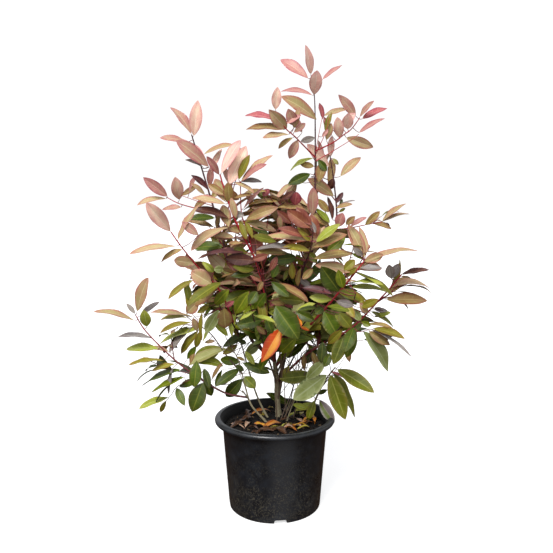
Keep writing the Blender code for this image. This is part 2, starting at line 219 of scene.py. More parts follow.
# A limb grows from its parent at a height in cm (None: on the mix) through the places of
# its route (x, z, depth). Radii are in mm.
Limb = namedtuple("Limb", "name parent height foot tip wood route")
LIMBS = [
    Limb("trunk", None, None, 6.8, 5.4, "old",
         [(1.1, 22.2, 4), (0.6, 27.4, 4), (0.5, 32, 4), (-0.1, 36.5, 3.5)]),
    Limb("left_stem", None, None, 2.7, 1.2, "old",
         [(-2.2, 20.9, 0), (-5.8, 25.1, 0), (-7.4, 30.1, 1), (-9, 36.5, 1), (-10.7, 39.9, 1)]),
    Limb("inner_left_stem", None, None, 2.6, 1.2, "old",
         [(-1.6, 21.6, 3), (-4.4, 27.5, 4), (-7, 36, 4), (-9.3, 45, 2), (-10.2, 50, 1)]),
    Limb("right_stem", None, None, 3.2, 1.6, "old",
         [(8.7, 22.2, 2), (10.6, 27.5, 0), (12.8, 31.8, -2), (15.1, 34.9, -3)]),
    Limb("leader", "trunk", 28, 5, 1, "brown",
         [(2, 35, 5.6), (6.5, 57.8, 4.5), (9.6, 66, 4), (9.8, 80, 5), (9.6, 99, 4), (8.7, 105.4, 4)]),
    Limb("left_leader", "trunk", 36, 4.4, 1.5, "brown",
         [(-3.8, 40, 3), (-6.8, 44.5, 2), (-12.2, 65, 3), (-15, 75, 4),
          (-17.8, 84.6, 5), (-19.9, 91.8, 5)]),
    Limb("centre_bough", "trunk", 37, 4.9, 1.6, "red",
         [(-1, 42, 1.5), (-2, 51, 0), (-4.4, 61, -2), (-9.4, 71, -5),
          (-12.2, 79, -6), (-13.2, 82.4, -6)]),
    Limb("crest_left_branch", "leader", 87, 2, 1.2, "red",
         [(6.9, 89.4, 2), (4.8, 91.5, 0), (3, 93, -1), (1.2, 95.2, -2)]),
    Limb("crest_right_branch", "leader", 88.5, 2, 1.2, "red",
         [(14, 90, 7), (16.5, 91.8, 8), (18.4, 93.2, 8.5), (20.2, 95.6, 9)]),
    Limb("second_leader", "leader", 62, 2.8, 1.4, "brown",
         [(12.5, 66.5, 7), (15, 71, 9), (14.5, 79.5, 9), (13.3, 87.1, 9)]),
    Limb("right_upper_branch", "second_leader", 69, 1.8, 1.1, "red",
         [(18, 69.5, 13), (22, 70.3, 16), (26, 71, 18)]),
    Limb("right_bough", "trunk", 34, 3.7, 1.7, "red",
         [(6, 42.5, 0), (12.4, 49.6, -5), (18, 56.4, -9), (21.9, 61.4, -10)]),
    Limb("right_outer_bough", "trunk", 30, 3.5, 1.6, "red",
         [(7, 37.5, 2), (13, 41.5, 1), (19.2, 45, -1), (27, 53.2, -2), (31.2, 58.2, -3)]),
    Limb("left_bough", "inner_left_stem", 41, 2.6, 1.3, "red",
         [(-13.2, 53.6, -5), (-18.7, 59.8, -9), (-22.8, 65, -12), (-25.3, 68.6, -13)]),
    Limb("far_left_bough", "left_stem", 27, 2.7, 1.4, "red",
         [(-12.3, 28.3, 0), (-18, 31.6, 0), (-24.6, 36.5, 1), (-31.6, 43.6, 2), (-34.4, 48, 2)]),
    Limb("left_mid_branch", "left_stem", 33, 2, 1.2, "brown",
         [(-12, 37.9, 6), (-15.9, 43.4, 10), (-20.4, 46.6, 13), (-22.2, 48.2, 14)]),
    Limb("left_upper_branch", "left_leader", 73, 1.8, 1.1, "red",
         [(-17.5, 73.9, 9), (-23, 75.4, 13), (-26.2, 77, 14.5)]),
    Limb("front_left_bough", "trunk", 29.5, 2.6, 1, "brown",
         [(-1.5, 37, -6), (-3.5, 43, -16), (-5, 46.5, -22), (-6, 50.5, -26)]),
    Limb("front_right_bough", "trunk", 32, 2.6, 1, "brown",
         [(4, 41, -6), (8, 47, -16), (10, 50, -21), (12, 54.5, -25)]),
    Limb("back_bough", "trunk", 31.5, 2.9, 1.1, "brown", [(0, 42, 12), (1, 53, 25.5), (1.2, 60, 30)]),
    Limb("back_left_bough", "trunk", 35, 2.6, 1.1, "brown",
         [(-4, 45, 11), (-10.5, 57, 20), (-13, 63, 24)]),
    Limb("back_right_bough", "trunk", 27.5, 2.6, 1.1, "brown",
         [(5, 38, 12), (11.5, 49, 22), (14.4, 55, 26)]),
    Limb("back_upper_branch", "leader", 60, 1.9, 0.9, "brown",
         [(6, 66, 10), (3.5, 71, 14), (2, 77, 18)]),
]

# Side shoots that are too slender for a solid of their own.
SIDE_SHOOTS = [
    Limb("twin_shoot", "trunk", 25, 2.8, 1.3, "brown",
         [(1.7, 31.2, 1), (1.5, 36, -4), (1.2, 40, -9), (1.4, 45, -15), (2.2, 50, -17)]),
    Limb("cut_stub", "left_stem", 26.5, 1.9, 1.7, "old", [(-7.4, 28, -0.5), (-8.1, 28.9, -1)]),
    Limb("tuft_shoot", "centre_bough", 63.5, 1.9, 1.1, "red",
         [(-6.4, 68.1, -3), (-7.3, 70.6, -4), (-8.1, 73.4, -5), (-8.3, 80.6, -6)]),
    Limb("far_left_twig", "far_left_bough", 32.5, 1.2, 0.7, "red",
         [(-24.2, 30.1, 1), (-26, 27.8, 2), (-27.4, 26.1, 3)]),
    Limb("drooping_twig", "right_outer_bough", 44.4, 1.1, 0.7, "red",
         [(20, 44.6, -3), (20.9, 43.9, -4), (24.4, 44.6, -5)]),
    Limb("crest_low_twig", "leader", 86, 1.1, 0.7, "red",
         [(14, 88, 5), (18.4, 90.7, 6), (20.2, 92, 6)]),
    Limb("crest_twig", "leader", 87.5, 1, 0.7, "red", [(12.2, 92.4, 5), (13, 96, 6)]),
    Limb("crest_inner_twig", "leader", 87.8, 0.9, 0.6, "red", [(10.8, 93, 3), (11.4, 96, 3)]),
    Limb("left_upper_twig", "left_leader", 75, 1, 0.7, "red", [(-18.6, 76, 8), (-22.6, 77.4, 11)]),
    Limb("left_cross_twig", "inner_left_stem", 48, 1.1, 0.7, "red", [(-13.2, 49.3, 4), (-19.2, 47, 9)]),
    Limb("slender_stem", None, None, 1.5, 0.9, "old",
         [(3.4, 22.2, 0), (4.6, 25.6, -1), (6.4, 29.4, -2), (8, 32, -3)]),
    Limb("slender_stem_behind", None, None, 1.8, 1, "old",
         [(2.8, 22.8, 6), (4, 26.6, 6), (5, 31, 5), (7.5, 36, 3)]),
    Limb("fork_twig_one", "slender_stem_behind", 30, 1.3, 0.9, "old",
         [(4.8, 34.2, 3), (3.4, 36.4, 1), (2.2, 38.4, 0), (1.8, 41, 0)]),
    Limb("fork_twig_two", "slender_stem_behind", 31, 1.4, 0.9, "old",
         [(6.2, 36.2, 2), (7, 38.6, 1), (9.8, 39.9, -1), (13.2, 41, -3)]),
    Limb("fork_twig_three", "slender_stem_behind", 32, 1.3, 0.9, "old",
         [(7.6, 36, 3), (7.9, 39, 3), (8.4, 42.4, 3)]),
    Limb("front_centre_shoot", "centre_bough", 44, 2.2, 1.1, "brown",
         [(-1.6, 50, -6), (-2.8, 56, -12), (-4.3, 61, -15), (-4.8, 65.5, -16)]),
    Limb("front_upper_shoot", "leader", 50, 2.2, 1.1, "brown",
         [(5.8, 56, -3), (7.2, 60, -9), (8.8, 64.6, -13), (9.4, 69, -15)]),
    Limb("front_left_shoot", "inner_left_stem", 42, 2, 1.1, "brown",
         [(-11, 47, -5), (-13.4, 50, -10), (-14.8, 54, -14), (-15.6, 57, -16)]),
    Limb("front_right_shoot", "right_outer_bough", 41, 2, 1.1, "brown",
         [(14.4, 43, -6), (17, 46, -12), (19, 50, -16), (20, 53.5, -18)]),
    Limb("middle_shoot", "centre_bough", 54, 1.8, 0.9, "brown",
         [(-1.8, 58, 2), (-1.5, 64, 3), (-1.4, 69.5, 3), (-1.2, 72.6, 3),
          (0.6, 74.6, 3), (2.8, 76, 3)]),
]

# Leading leaves, which give the crown its outline and its front, by the shoot that bears them. A
# leaf runs from x, z to tip_x, tip_z, and its width is as seen. It arches by a share of its
# length, and leans away from the eye by a share of it (None: by chance).
Leaf = namedtuple("Leaf", "x z tip_x tip_z width kind arch lean", defaults=(0.07, None))
LEADING_LEAVES = {
    "leader": [
        (10.6, 80.6, 11.6, 85.4, 2.6, "bronze"), (5, 80.8, 0.5, 76.8, 1.3, "tan"),
        (9.1, 73.2, 13.4, 70, 1.8, "bronze", 0.05), (9.9, 74.4, 13.4, 70.8, 1.4, "green", 0.05),
        (8.6, 106, 7.3, 112.8, 2.1, "blush"), (8, 105, 1.4, 109.4, 2.6, "rose", 0.1),
        (11.4, 104.8, 16.1, 108.2, 1.1, "rose", 0.05),
        # The first leaf on the next line hangs its face away from the light. Its pale blush kind is
        # painted light that makes up for that shade.
        (9.4, 101.2, 10.1, 106.9, 3, "blush", 0.12, -0.6), (9, 101.1, 1.4, 102.1, 1.1, "rose", 0.16),
        (10, 95.5, 1.5, 100.9, 3, "tan", 0.12), (9.7, 91.2, 6.3, 90.3, 1.6, "slate"),
        (10.5, 86, 12.6, 83.2, 1.9, "green"), (9.3, 86.3, 3.7, 83.2, 1.1, "lime", 0.16),
        (8.6, 82.6, 3.2, 80.1, 2.4, "green", 0.12), (9.5, 84.4, 6, 85, 1.5, "bronze", 0.14),
        (9.2, 72.5, 9.3, 79.4, 2.6, "rose", 0.08, -0.3), (8.4, 73.2, 4.2, 77.8, 2, "tan"),
        (10.4, 76.6, 13.2, 73.4, 1.8, "bronze"),
    ],
    "crest_left_branch": [
        (6.6, 92.4, 4.6, 96, 1.8, "blush"), (4.6, 92.4, 7.4, 94.6, 1.4, "rose"),
        (2.6, 94.4, 6.4, 96.6, 1.2, "rose"), (0.2, 97.8, 0.7, 103.1, 2.4, "blush", 0.1),
        (0.2, 95.3, -7.2, 96.4, 1.4, "crimson", 0.13), (2.1, 93.1, -7, 93.1, 1.6, "bronze", 0.15),
        (3.4, 91.9, -2.9, 91.2, 1.2, "tan", 0.12), (4.4, 91.2, 0.9, 88.6, 1.2, "bronze", 0.16),
        (5.6, 90.7, 3.5, 86.2, 2.4, "rose"), (2.9, 93.2, -1.4, 97.8, 3, "tan", 0.1),
        (4.9, 94, 3.2, 98, 2.6, "rose", 0.1, -0.4), (4.6, 93.4, 6, 98.4, 1.7, "tan"),
    ],
    "crest_right_branch": [
        (12.4, 90.6, 13.6, 94.6, 1.8, "tan"), (13.6, 92, 11.8, 96, 1.6, "rose"),
        (16, 94.2, 19.4, 97, 2.2, "blush"), (11.7, 96.3, 17.4, 98, 1.3, "tan", 0.1),
        (15.7, 91, 15, 96, 2.7, "blush", 0.1, -0.5), (17.5, 93.2, 17.6, 97, 2.6, "blush", 0.1, -0.6),
        (19.4, 96.3, 15.2, 101.3, 2.3, "rose", 0.1), (20.4, 96.1, 23.7, 99.9, 1.3, "rose"),
        (21, 95.6, 27, 98.2, 1.8, "crimson", 0.1), (20.3, 92.4, 26.4, 95.8, 1.3, "rose", 0.1),
        (17.2, 91.2, 23.8, 88.9, 2.7, "tan", 0.12),
    ],
    "crest_twig": [
        (12.2, 92.6, 13.7, 97.2, 1.4, "olive"),
    ],
    "crest_inner_twig": [
        (11.5, 95.6, 10.7, 99.4, 1.2, "crimson"), (11.4, 91.4, 12.9, 93.2, 1, "rose"),
    ],
    "second_leader": [
        (14, 71.6, 12.8, 77.2, 1.4, "maroon"), (15.3, 69.8, 16.6, 73.2, 2.8, "rose"),
        (15.8, 75.2, 19.6, 76.2, 0.5, "slate"), (15.9, 74.6, 16.4, 76.6, 0.9, "deep"),
        (15.6, 73.4, 17.2, 74.4, 0.8, "lime"), (17.3, 67.4, 12.8, 63.6, 2.6, "green"),
        (13.4, 86.6, 13.7, 91.6, 1.9, "blush", 0.05, -0.3), (13.1, 84.3, 7.8, 89.7, 2.7, "blush", 0.1),
        (14, 86.3, 15.4, 84.8, 1, "lime", 0.2), (15.9, 82, 20.8, 86.6, 2.4, "tan", 0.12),
        (14.3, 77.3, 8, 81.5, 2.8, "tan", 0.08), (14.3, 81.6, 13.2, 78.8, 1.9, "maroon", 0.3, 0.5),
        (14.8, 75.5, 16.6, 78.2, 1.3, "maroon"), (14.9, 74.4, 18.9, 75.4, 1.2, "bronze"),
    ],
    "left_leader": [
        (-12.4, 59.6, -15, 59.3, 1.8, "sage"), (-12.8, 64.4, -15.6, 63.2, 0.9, "olive"),
        (-14.2, 63.4, -19, 61.9, 0.8, "maroon"), (-16.9, 77.6, -20.3, 80.4, 1.2, "tan"),
        (-19.4, 91.6, -18.3, 100, 3.3, "blush", 0.05), (-20, 92, -24.8, 98.5, 2.1, "rose", 0.1),
        (-21.4, 90.2, -27.6, 91.2, 1.5, "rose", 0.13), (-15.9, 84.3, -23.6, 90.6, 3.2, "rose", 0.08),
        (-16.6, 85.2, -22.6, 91.2, 2.2, "blush", 0.06, 0.3), (-17.1, 84, -21.6, 86, 0.8, "slate", 0.14),
        (-17.1, 87.2, -9.6, 89.5, 1.3, "tan", 0.16), (-14.9, 83.8, -12.7, 88.6, 1.6, "blush"),
        (-15.3, 84.4, -15.8, 79.6, 1.8, "rose", 0.05, 0.3),
        (-14.8, 69.7, -21.1, 71.3, 1.6, "bronze", 0.1), (-14.6, 72, -21.4, 71.6, 1.8, "green", 0.12),
        (-12.6, 65.1, -19.9, 64.6, 2.4, "green", 0.12), (-12, 62, -6.4, 66.6, 2.2, "bronze"),
        (-15.4, 76.4, -12.6, 80.4, 1.8, "bronze"), (-16, 78.6, -20.2, 82.4, 1.3, "maroon", 0.14),
    ],
    "left_upper_branch": [
        (-26, 77.2, -31.8, 81.8, 2.8, "rose", 0.08),
        (-23.1, 76.4, -24.1, 81.9, 3.3, "blush", 0.14, -0.6),
        (-26.3, 76.6, -33.5, 75.2, 1.4, "tan", 0.15), (-22.7, 74.6, -27.4, 74, 1.3, "rose", 0.1),
        (-19.6, 74.2, -15.2, 77.6, 1.8, "bronze"),
    ],
    "left_upper_twig": [
        (-20.7, 78, -18.9, 82.2, 0.9, "rose", 0.14), (-22.4, 77.4, -18.6, 79.8, 1.5, "bronze"),
    ],
    "centre_bough": [
        (-10.6, 67, -15.2, 68, 1.7, "tan"), (-9.4, 72, -10.6, 77, 1.8, "tan"),
        (-7.9, 68.6, -12, 70.2, 1.8, "bronze"), (-12, 75.4, -20.1, 76.9, 1.8, "tan", 0.05),
        (-12, 76, -14.4, 81.5, 2.6, "tan"), (-10.9, 75.2, -11.3, 80.6, 2.6, "bronze"),
        (-11.2, 69.8, -12.6, 75.2, 2.6, "tan"), (-9.9, 67.3, -15.4, 67.9, 1.5, "tan"),
        (-12.9, 82.7, -8.2, 90.7, 2.3, "blush"), (-13.4, 82.4, -16.4, 86.8, 1.8, "rose"),
        (-11.2, 71.9, -19.9, 74, 1.9, "maroon", 0.12), (-11, 69.7, -20.5, 64, 1.9, "tan", 0.16),
        (-11.9, 77.4, -16.2, 80.2, 2, "bronze"), (-12.2, 78.8, -8.6, 76.4, 2, "bronze"),
    ],
    "tuft_shoot": [
        (-9.9, 80.6, -5, 78, 1, "tan", 0.1), (-6.9, 71.6, 0.9, 74.6, 2.6, "bronze", 0.12),
        (-7, 71, -2.6, 72.3, 1.3, "olive"), (-7.4, 72.6, -10.4, 73.2, 1.6, "slate"),
        (-8.6, 71.4, -6.9, 66.8, 1.6, "olive"), (-7.2, 71.2, -5.4, 67, 1.3, "olive"),
        (-6.9, 71, 0.6, 68.8, 2, "tan"), (-6.2, 69.8, -1.2, 67.8, 1.4, "deep"),
        (-11, 80.2, -6.8, 89.3, 3.7, "blush", 0.06), (-8.7, 81.2, -6, 87.2, 1.9, "olive"),
        (-8.1, 80.9, -0.5, 87.1, 1.5, "tan"), (-8.2, 80.5, -2, 85, 1.2, "rose", 0.1),
        (-8, 80.7, -3, 80.6, 1.1, "slate", 0.18), (-9.8, 76.8, -5.2, 77.6, 0.9, "bronze"),
        (-7.6, 74.2, -2.6, 79.4, 0.9, "rose", 0.03),
    ],
    "left_bough": [
        (-20.2, 47.5, -30.6, 48.8, 0.9, "tan", 0.04), (-20.9, 51.4, -22.2, 56.6, 1.7, "lime"),
        (-25.4, 68.7, -31.2, 75.7, 3.3, "blush", 0.08), (-23.6, 66.7, -18.3, 75.5, 1.2, "tan", 0.05),
        (-24, 65.1, -35.6, 63.2, 1.4, "tan", 0.1), (-18.6, 67.8, -22.5, 71, 1.9, "rose"),
        (-19.4, 60.9, -24.7, 61.7, 2.6, "tan", 0.12), (-22.6, 64.4, -27.9, 61.1, 1.3, "bronze", 0.2),
        (-20, 56.8, -26.3, 52, 1.4, "olive", 0.14),
    ],
    "left_cross_twig": [
        (-17.8, 49.2, -18.2, 41.6, 1, "olive"), (-18.6, 44, -19.6, 39.8, 1.8, "olive"),
        (-21.4, 50, -20.9, 57, 1.3, "olive", 0.05, -0.2),
    ],
    "far_left_bough": [
        (-21.2, 35.6, -19.8, 39.2, 1, "bronze"), (-21.8, 37, -19.6, 40.2, 1.6, "green"),
        (-34, 49, -31.2, 57.4, 2.8, "tan", 0.06), (-34.6, 46.6, -44.8, 49.1, 1.4, "tan", 0.1),
        (-34.5, 48.4, -36.6, 51, 1.1, "slate"), (-33.2, 48, -28.4, 51.4, 1.3, "slate", 0.1),
        (-31.6, 45.2, -32.4, 49.4, 2.8, "lime", 0.14, -0.5),
        (-30.4, 42.2, -39, 42.8, 1.2, "slate", 0.1), (-29, 39.6, -37, 39.6, 2.1, "lime", 0.1),
        (-27.8, 36.6, -36.6, 35.6, 1.1, "olive", 0.08), (-24.9, 35.7, -30.7, 34.1, 1.3, "olive", 0.1),
        (-25.4, 34.8, -26.6, 28, 1, "slate"), (-23.4, 34.2, -33.3, 30.1, 1.4, "green", 0.1),
        (-19.4, 36.6, -20.2, 29.8, 3, "green"), (-18, 31, -20.8, 23.4, 4, "deep", 0.08, -0.2),
        (-17.6, 31.6, -15.7, 27.6, 2.6, "deep"), (-17.6, 34.6, -16.2, 29.4, 2, "deep"),
    ],
    "far_left_twig": [
        (-22.6, 32.4, -31, 28.4, 1.5, "green", 0.1), (-26.6, 27.2, -34.2, 24.4, 1.6, "lime", 0.1),
        (-27.2, 26.4, -28.8, 23.4, 1.2, "olive"), (-24.6, 29.6, -22.6, 25, 2, "green"),
    ],
    "left_mid_branch": [
        (-19.2, 44, -20.2, 47.4, 1.6, "tan"), (-12, 39.6, -21.6, 35.4, 2.6, "lime", 0.1),
        (-20.4, 36.2, -12.8, 35.2, 2.2, "lime", 0.3), (-17.4, 41.2, -14.8, 41.6, 1, "tan"),
        (-22.4, 48.3, -30.8, 48.8, 1.2, "tan", 0.12), (-21.6, 47.4, -28.4, 47, 1.3, "olive", 0.1),
        (-20.6, 46.2, -28.5, 43.6, 1.5, "olive", 0.12), (-18.6, 44.6, -28.8, 40.9, 1.6, "lime", 0.14),
        (-20.6, 45, -26.3, 38.6, 1.6, "slate", 0.08), (-18.9, 44.2, -23.3, 38.3, 2.2, "olive", 0.1),
        (-13.2, 39.9, -20.2, 36.9, 3.9, "lime", 0.12), (-21.8, 48.2, -19.4, 53.4, 1.8, "olive"),
    ],
    "left_stem": [
        (-15.8, 31.6, -13, 36, 0.9, "bronze"), (-7.4, 39, -5, 35.6, 1.6, "lime"),
        (-4.2, 34.2, -1.2, 33.4, 0.9, "deep"), (-9.8, 35.4, -7.6, 34, 1.4, "deep"),
        (-8.9, 41.6, -7, 41, 1.2, "deep"), (-13, 34.4, -14.8, 29.8, 1.1, "deep"),
        (-14.2, 30.4, -11.1, 32.1, 1.4, "green"), (-9.4, 37.6, -7.4, 36.6, 0.8, "bronze"),
        (-8, 32, -12.2, 27.4, 3.3, "deep", 0.1), (-8.9, 34.4, -14.9, 30, 2.4, "green", 0.1),
        (-7.6, 32.6, -4.8, 29.6, 2.6, "green"), (-8, 36, -1.2, 33.5, 2.6, "green", 0.1),
    ],
    "inner_left_stem": [
        (-8.4, 36.2, -13.6, 36.9, 2.4, "green"), (-9.2, 40.6, -13, 38.2, 1.8, "olive"),
        (-8.6, 41.2, -9.6, 43.6, 1.2, "green"), (-6.8, 54.6, -12.8, 55.4, 1.2, "deep"),
        (-12.9, 40.1, -6.4, 43.4, 2.2, "deep"), (-9.6, 49.4, -10.6, 42.6, 1.5, "lime", 0.1, -0.3),
        (-7.3, 38, -3.6, 41.4, 2.4, "sage"), (-5.4, 54.1, -14.3, 50.2, 3, "green", 0.1),
        (-1, 54.4, -15.2, 55.7, 0.9, "tan", 0.08),
    ],
    "twin_shoot": [
        (5.2, 48.9, 10, 46.6, 2.2, "deep"), (5.5, 48.6, 6.6, 45.2, 0.8, "flame"),
        (6.4, 45.2, 8.6, 44.2, 0.7, "flame"), (1.4, 44.6, -3.3, 36.2, 3.3, "flame", 0.06, -0.3),
        (0.2, 50.4, 5.9, 42, 5.2, "green", 0.08, -0.2), (5.4, 42.6, 1.4, 38.6, 3, "green"),
    ],
    "right_bough": [
        (17.4, 70.4, 19.6, 72.4, 1.6, "bronze"), (17, 58.2, 20.2, 59.8, 1.8, "olive"),
        (9.4, 58.8, 12.6, 59.6, 1.2, "deep"), (22.4, 63.2, 20.6, 70, 1.6, "tan"),
        (21.6, 62.8, 19, 64.8, 1.4, "slate"), (21.8, 61.9, 18.8, 63.3, 0.9, "green"),
        (21.4, 65, 16.6, 65.4, 0.4, "green"), (21.9, 61.4, 26.6, 63.1, 2.2, "tan", 0.12),
        (21.9, 60.5, 35.6, 63.9, 1.2, "tan", 0.15), (21, 59.8, 26.5, 59.7, 1.4, "slate", 0.1),
        (22, 62.4, 17.9, 70.5, 2.8, "tan", 0.08), (19.4, 58.9, 10, 60.5, 2.4, "tan", 0.05),
        (18.8, 59.2, 29.4, 53, 1, "olive", 0.05), (18.8, 56.2, 26.7, 55.8, 0.9, "lime", 0.1),
        (19, 54.9, 27.6, 54, 1.4, "lime", 0.1), (12.2, 49.2, 15.7, 42.6, 4, "green", 0.08, -0.2),
        (7.2, 43.3, 10.6, 42, 0.5, "lime"),
    ],
    "right_outer_bough": [
        (18.4, 43.2, 21.6, 46.8, 2, "green"), (24, 46.6, 30.2, 43.4, 0.7, "olive"),
        (24.6, 49.9, 27.4, 49.2, 0.7, "maroon"), (24, 48.9, 26, 47.8, 0.5, "deep"),
        (28.8, 57.2, 30.4, 60.9, 2, "slate"), (31, 57.6, 33.6, 57.2, 0.6, "bronze"),
        (18, 39.6, 18.7, 36.2, 1.6, "bronze"), (28.6, 57.2, 28, 60.6, 2.2, "slate"),
        (31.2, 58.2, 38, 59.4, 1.4, "maroon", 0.08), (28.8, 55, 38.2, 54.9, 1.4, "tan", 0.2),
        (27.6, 51.9, 37.7, 51.7, 3.1, "bronze", 0.08), (24.5, 49.6, 28, 49.1, 1.2, "slate", 0.14),
        (24.6, 47.6, 28.7, 48.8, 1.3, "lime", 0.05), (23.8, 49, 29.6, 45, 1.1, "olive", 0.1),
    ],
    "drooping_twig": [
        (24.2, 44.2, 31, 42.6, 1.2, "tan"), (22.2, 43.9, 28.6, 33.7, 3.4, "sage", 0.12),
        (22, 43.9, 27.3, 36.5, 2.2, "green", 0.1, 0.3), (24.3, 44.7, 32.4, 42.2, 1.8, "olive", 0.1),
        (24.4, 44.2, 34.2, 37.4, 0.7, "slate", 0.1), (23.4, 44, 28.7, 40.5, 2.2, "bronze"),
    ],
    "right_upper_branch": [
        (22, 70.2, 25.6, 73.6, 2, "bronze"), (26.2, 71.3, 32, 75.5, 1.4, "tan", 0.08),
        (26.2, 71.1, 32.9, 73.1, 1.1, "tan", 0.1), (18.4, 69.8, 22.4, 72.2, 1.3, "rose"),
        (24, 70.6, 28.6, 69.4, 1.4, "bronze", 0.14),
    ],
    "right_stem": [
        (14, 33.8, 17.6, 32.2, 0.7, "crimson"), (10.6, 28, 13.2, 29.2, 1.2, "deep"),
        (15.6, 34.4, 25, 28.4, 3.4, "moss", 0.08), (13.8, 33, 17.8, 21.4, 4.2, "moss", 0.06, -0.1),
        (14.6, 33.4, 20.4, 22, 2.4, "moss", 0.03, 0.3), (13, 33, 4.6, 26.6, 4.4, "sage", 0.08),
        (10.3, 32.9, 1.2, 32, 3.2, "moss", 0.05), (10, 26.4, 8.2, 21.2, 2.2, "moss"),
        (9.8, 25.6, 5.1, 23.8, 1.6, "lime", 0.1), (11.2, 26.6, 15, 20.6, 2.6, "half_turned", 0.3, -0.4),
    ],
    "slender_stem": [
        (4.4, 25.4, 8.4, 24.2, 1.4, "lime"), (7.8, 31.8, 12.4, 36.4, 2.8, "sage"),
    ],
    "slender_stem_behind": [
        (3.6, 25.4, -2.2, 28.4, 2, "deep", 0.08, 0.3), (7.3, 35.8, 10.4, 40.2, 2.8, "deep"),
    ],
    "middle_shoot": [
        (-2, 78.4, -7.6, 77.8, 1.2, "bronze"), (-0.4, 75.2, -7.2, 73.4, 1.5, "bronze"),
        (-1.2, 73, -5.8, 74.6, 1.2, "tan"), (-2.9, 77.3, -1.3, 79, 1.6, "crimson"),
        (0.9, 76, -6.6, 75, 1.1, "bronze", 0.16), (0.3, 74.6, 7.4, 74.2, 1.4, "bronze", 0.08),
        (1.2, 76, 5, 78.4, 1.3, "maroon"), (4.9, 75.1, 5.4, 78.3, 2.8, "crimson"),
        (1.4, 69.2, 1.2, 72.6, 1.6, "tan"), (0.6, 73.8, 4.2, 70.6, 2.2, "russet"),
    ],
    "front_left_bough": [
        (-6.3, 54, -9.8, 48.4, 2.8, "green"), (-4.4, 54, -6.4, 50.8, 2.2, "deep"),
        (-4.6, 49.4, -8.7, 46.8, 0.7, "lime", 0.03), (-5.2, 48, 0.2, 46.2, 0.9, "lime"),
        (-3.2, 46.9, -9.2, 45.6, 2.6, "green"), (-4.6, 45.4, -2.2, 43.2, 1.2, "bronze"),
        (-1.9, 47.2, -0.6, 43.4, 2, "green"),
    ],
    "trunk": [
        (-0.4, 33.9, -3.6, 35, 0.6, "olive"),
    ],
    "front_right_bough": [
        (14.2, 52, 8.6, 52.6, 1.9, "lime"), (5.4, 49.2, 10, 51, 1, "lime"),
        (10.8, 50, 5.6, 49, 1.1, "deep"), (12.2, 50.2, 10, 48.4, 1.6, "deep"),
        (12.8, 50.2, 18.6, 49.2, 1.3, "green"), (14, 53.4, 6.8, 54.9, 1.5, "maroon"),
        (19.6, 50.4, 15.2, 51.6, 1.6, "slate"), (16, 48.6, 19, 44.8, 2.6, "olive"),
        (14.9, 48.2, 16.8, 46.4, 0.9, "lime"),
    ],
    "fork_twig_one": [
        (3.6, 35.2, 1.8, 32.4, 1.4, "olive"),
    ],
    "fork_twig_two": [
        (13.8, 38.6, 12.4, 35, 2, "green"), (12, 41.4, 11.6, 36, 2.6, "deep"),
        (9.2, 38.8, 11.2, 33.6, 1.7, "bronze"), (7.4, 38.6, 7.4, 34, 1.3, "bronze"),
        (8.6, 34.8, 10.2, 32.8, 0.9, "lime"),
    ],
    "fork_twig_three": [
        (7.6, 40.9, 3, 37.2, 1.9, "deep"), (8.4, 41.6, 5.2, 40, 1.4, "deep"),
        (8.2, 41, 10.2, 37.4, 1.6, "green"),
    ],
    "front_centre_shoot": [
        (0.4, 66.2, -5.4, 67.6, 1.8, "olive"), (-1.6, 63, -5.4, 61.8, 1.6, "russet"),
        (-2.2, 53.6, -5, 49.6, 2.4, "green"), (-1, 51.4, 3.2, 51.4, 1.9, "bronze"),
        (-7.2, 60.9, -12, 61.2, 3.4, "russet"), (-8, 65.9, -11.4, 65.8, 0.8, "bronze"),
        (-2.9, 56.6, -4.2, 54, 1.4, "bronze"), (-6.6, 63.4, -10, 64.6, 1.6, "olive"),
        (-7.4, 63.6, -16.6, 63.4, 1.2, "maroon"), (-7.8, 66, -11.4, 65.5, 0.7, "bronze"),
        (-5.2, 58.4, -10.8, 57.8, 1.6, "deep"), (-5, 59.4, -10.4, 60.2, 2.2, "olive"),
        (-5.6, 60.2, -9.8, 60.7, 0.6, "lime"), (-1.2, 59, 0.6, 62.6, 1.6, "russet"),
        (-0.8, 56.4, 3.6, 52.6, 2.2, "green"), (0.4, 56.2, 8.4, 51.4, 1.6, "bronze"),
        (1, 52.2, 7.4, 51.6, 2.4, "olive"), (-1.2, 50.2, 0.5, 52.2, 1.6, "crimson"),
        (2.2, 50.6, 4.6, 50, 0.8, "crimson"), (-0.6, 57.4, 0.8, 60.6, 1.8, "green"),
        (-4.4, 61.6, -12.2, 62.2, 2.6, "maroon", 0.08),
    ],
    "front_upper_shoot": [
        (3.4, 63.4, -5.4, 63.2, 1.8, "bronze"), (5.6, 64.5, -4.6, 64.4, 1.2, "slate"),
        (5.4, 62.4, -1.6, 61.6, 2.6, "deep"), (4.2, 61.2, 4.4, 57, 1.6, "olive"),
        (3.4, 59.6, 2.2, 56.6, 1.1, "olive"), (10.4, 61, 8.4, 63.6, 1.8, "olive"),
        (9.4, 59.6, 6.8, 57, 1.6, "bronze"), (10, 68.4, 8.6, 71.4, 1.4, "slate"),
        (5.8, 57.4, 9.2, 54.8, 1.5, "slate"), (8.2, 66.4, -3.2, 67.3, 1.5, "tan", 0.05),
        (10.2, 67.2, 8.8, 73, 2.6, "russet"), (10.2, 66.2, 16, 70.6, 1.8, "lime"),
        (10.2, 66.4, 12.2, 70, 0.9, "tan"), (9.4, 64.8, 17.6, 68.1, 2.2, "bronze"),
        (8.8, 66.2, 5.6, 69.2, 1.2, "olive"), (7.6, 67.6, 0.8, 69.6, 1.8, "russet"),
        (8.8, 69.6, 3, 73.8, 3, "russet"), (9, 70.2, 5.2, 74.6, 2, "russet", 0.07, 0.3),
        (9.6, 62, 19.4, 63.6, 1.9, "bronze", 0.05), (6.9, 60.4, 5.2, 63.2, 1.4, "olive"),
        (6.4, 59.8, 5.6, 55.2, 1.3, "bronze"), (8.6, 64, 2, 65, 1.6, "olive"),
    ],
    "front_left_shoot": [
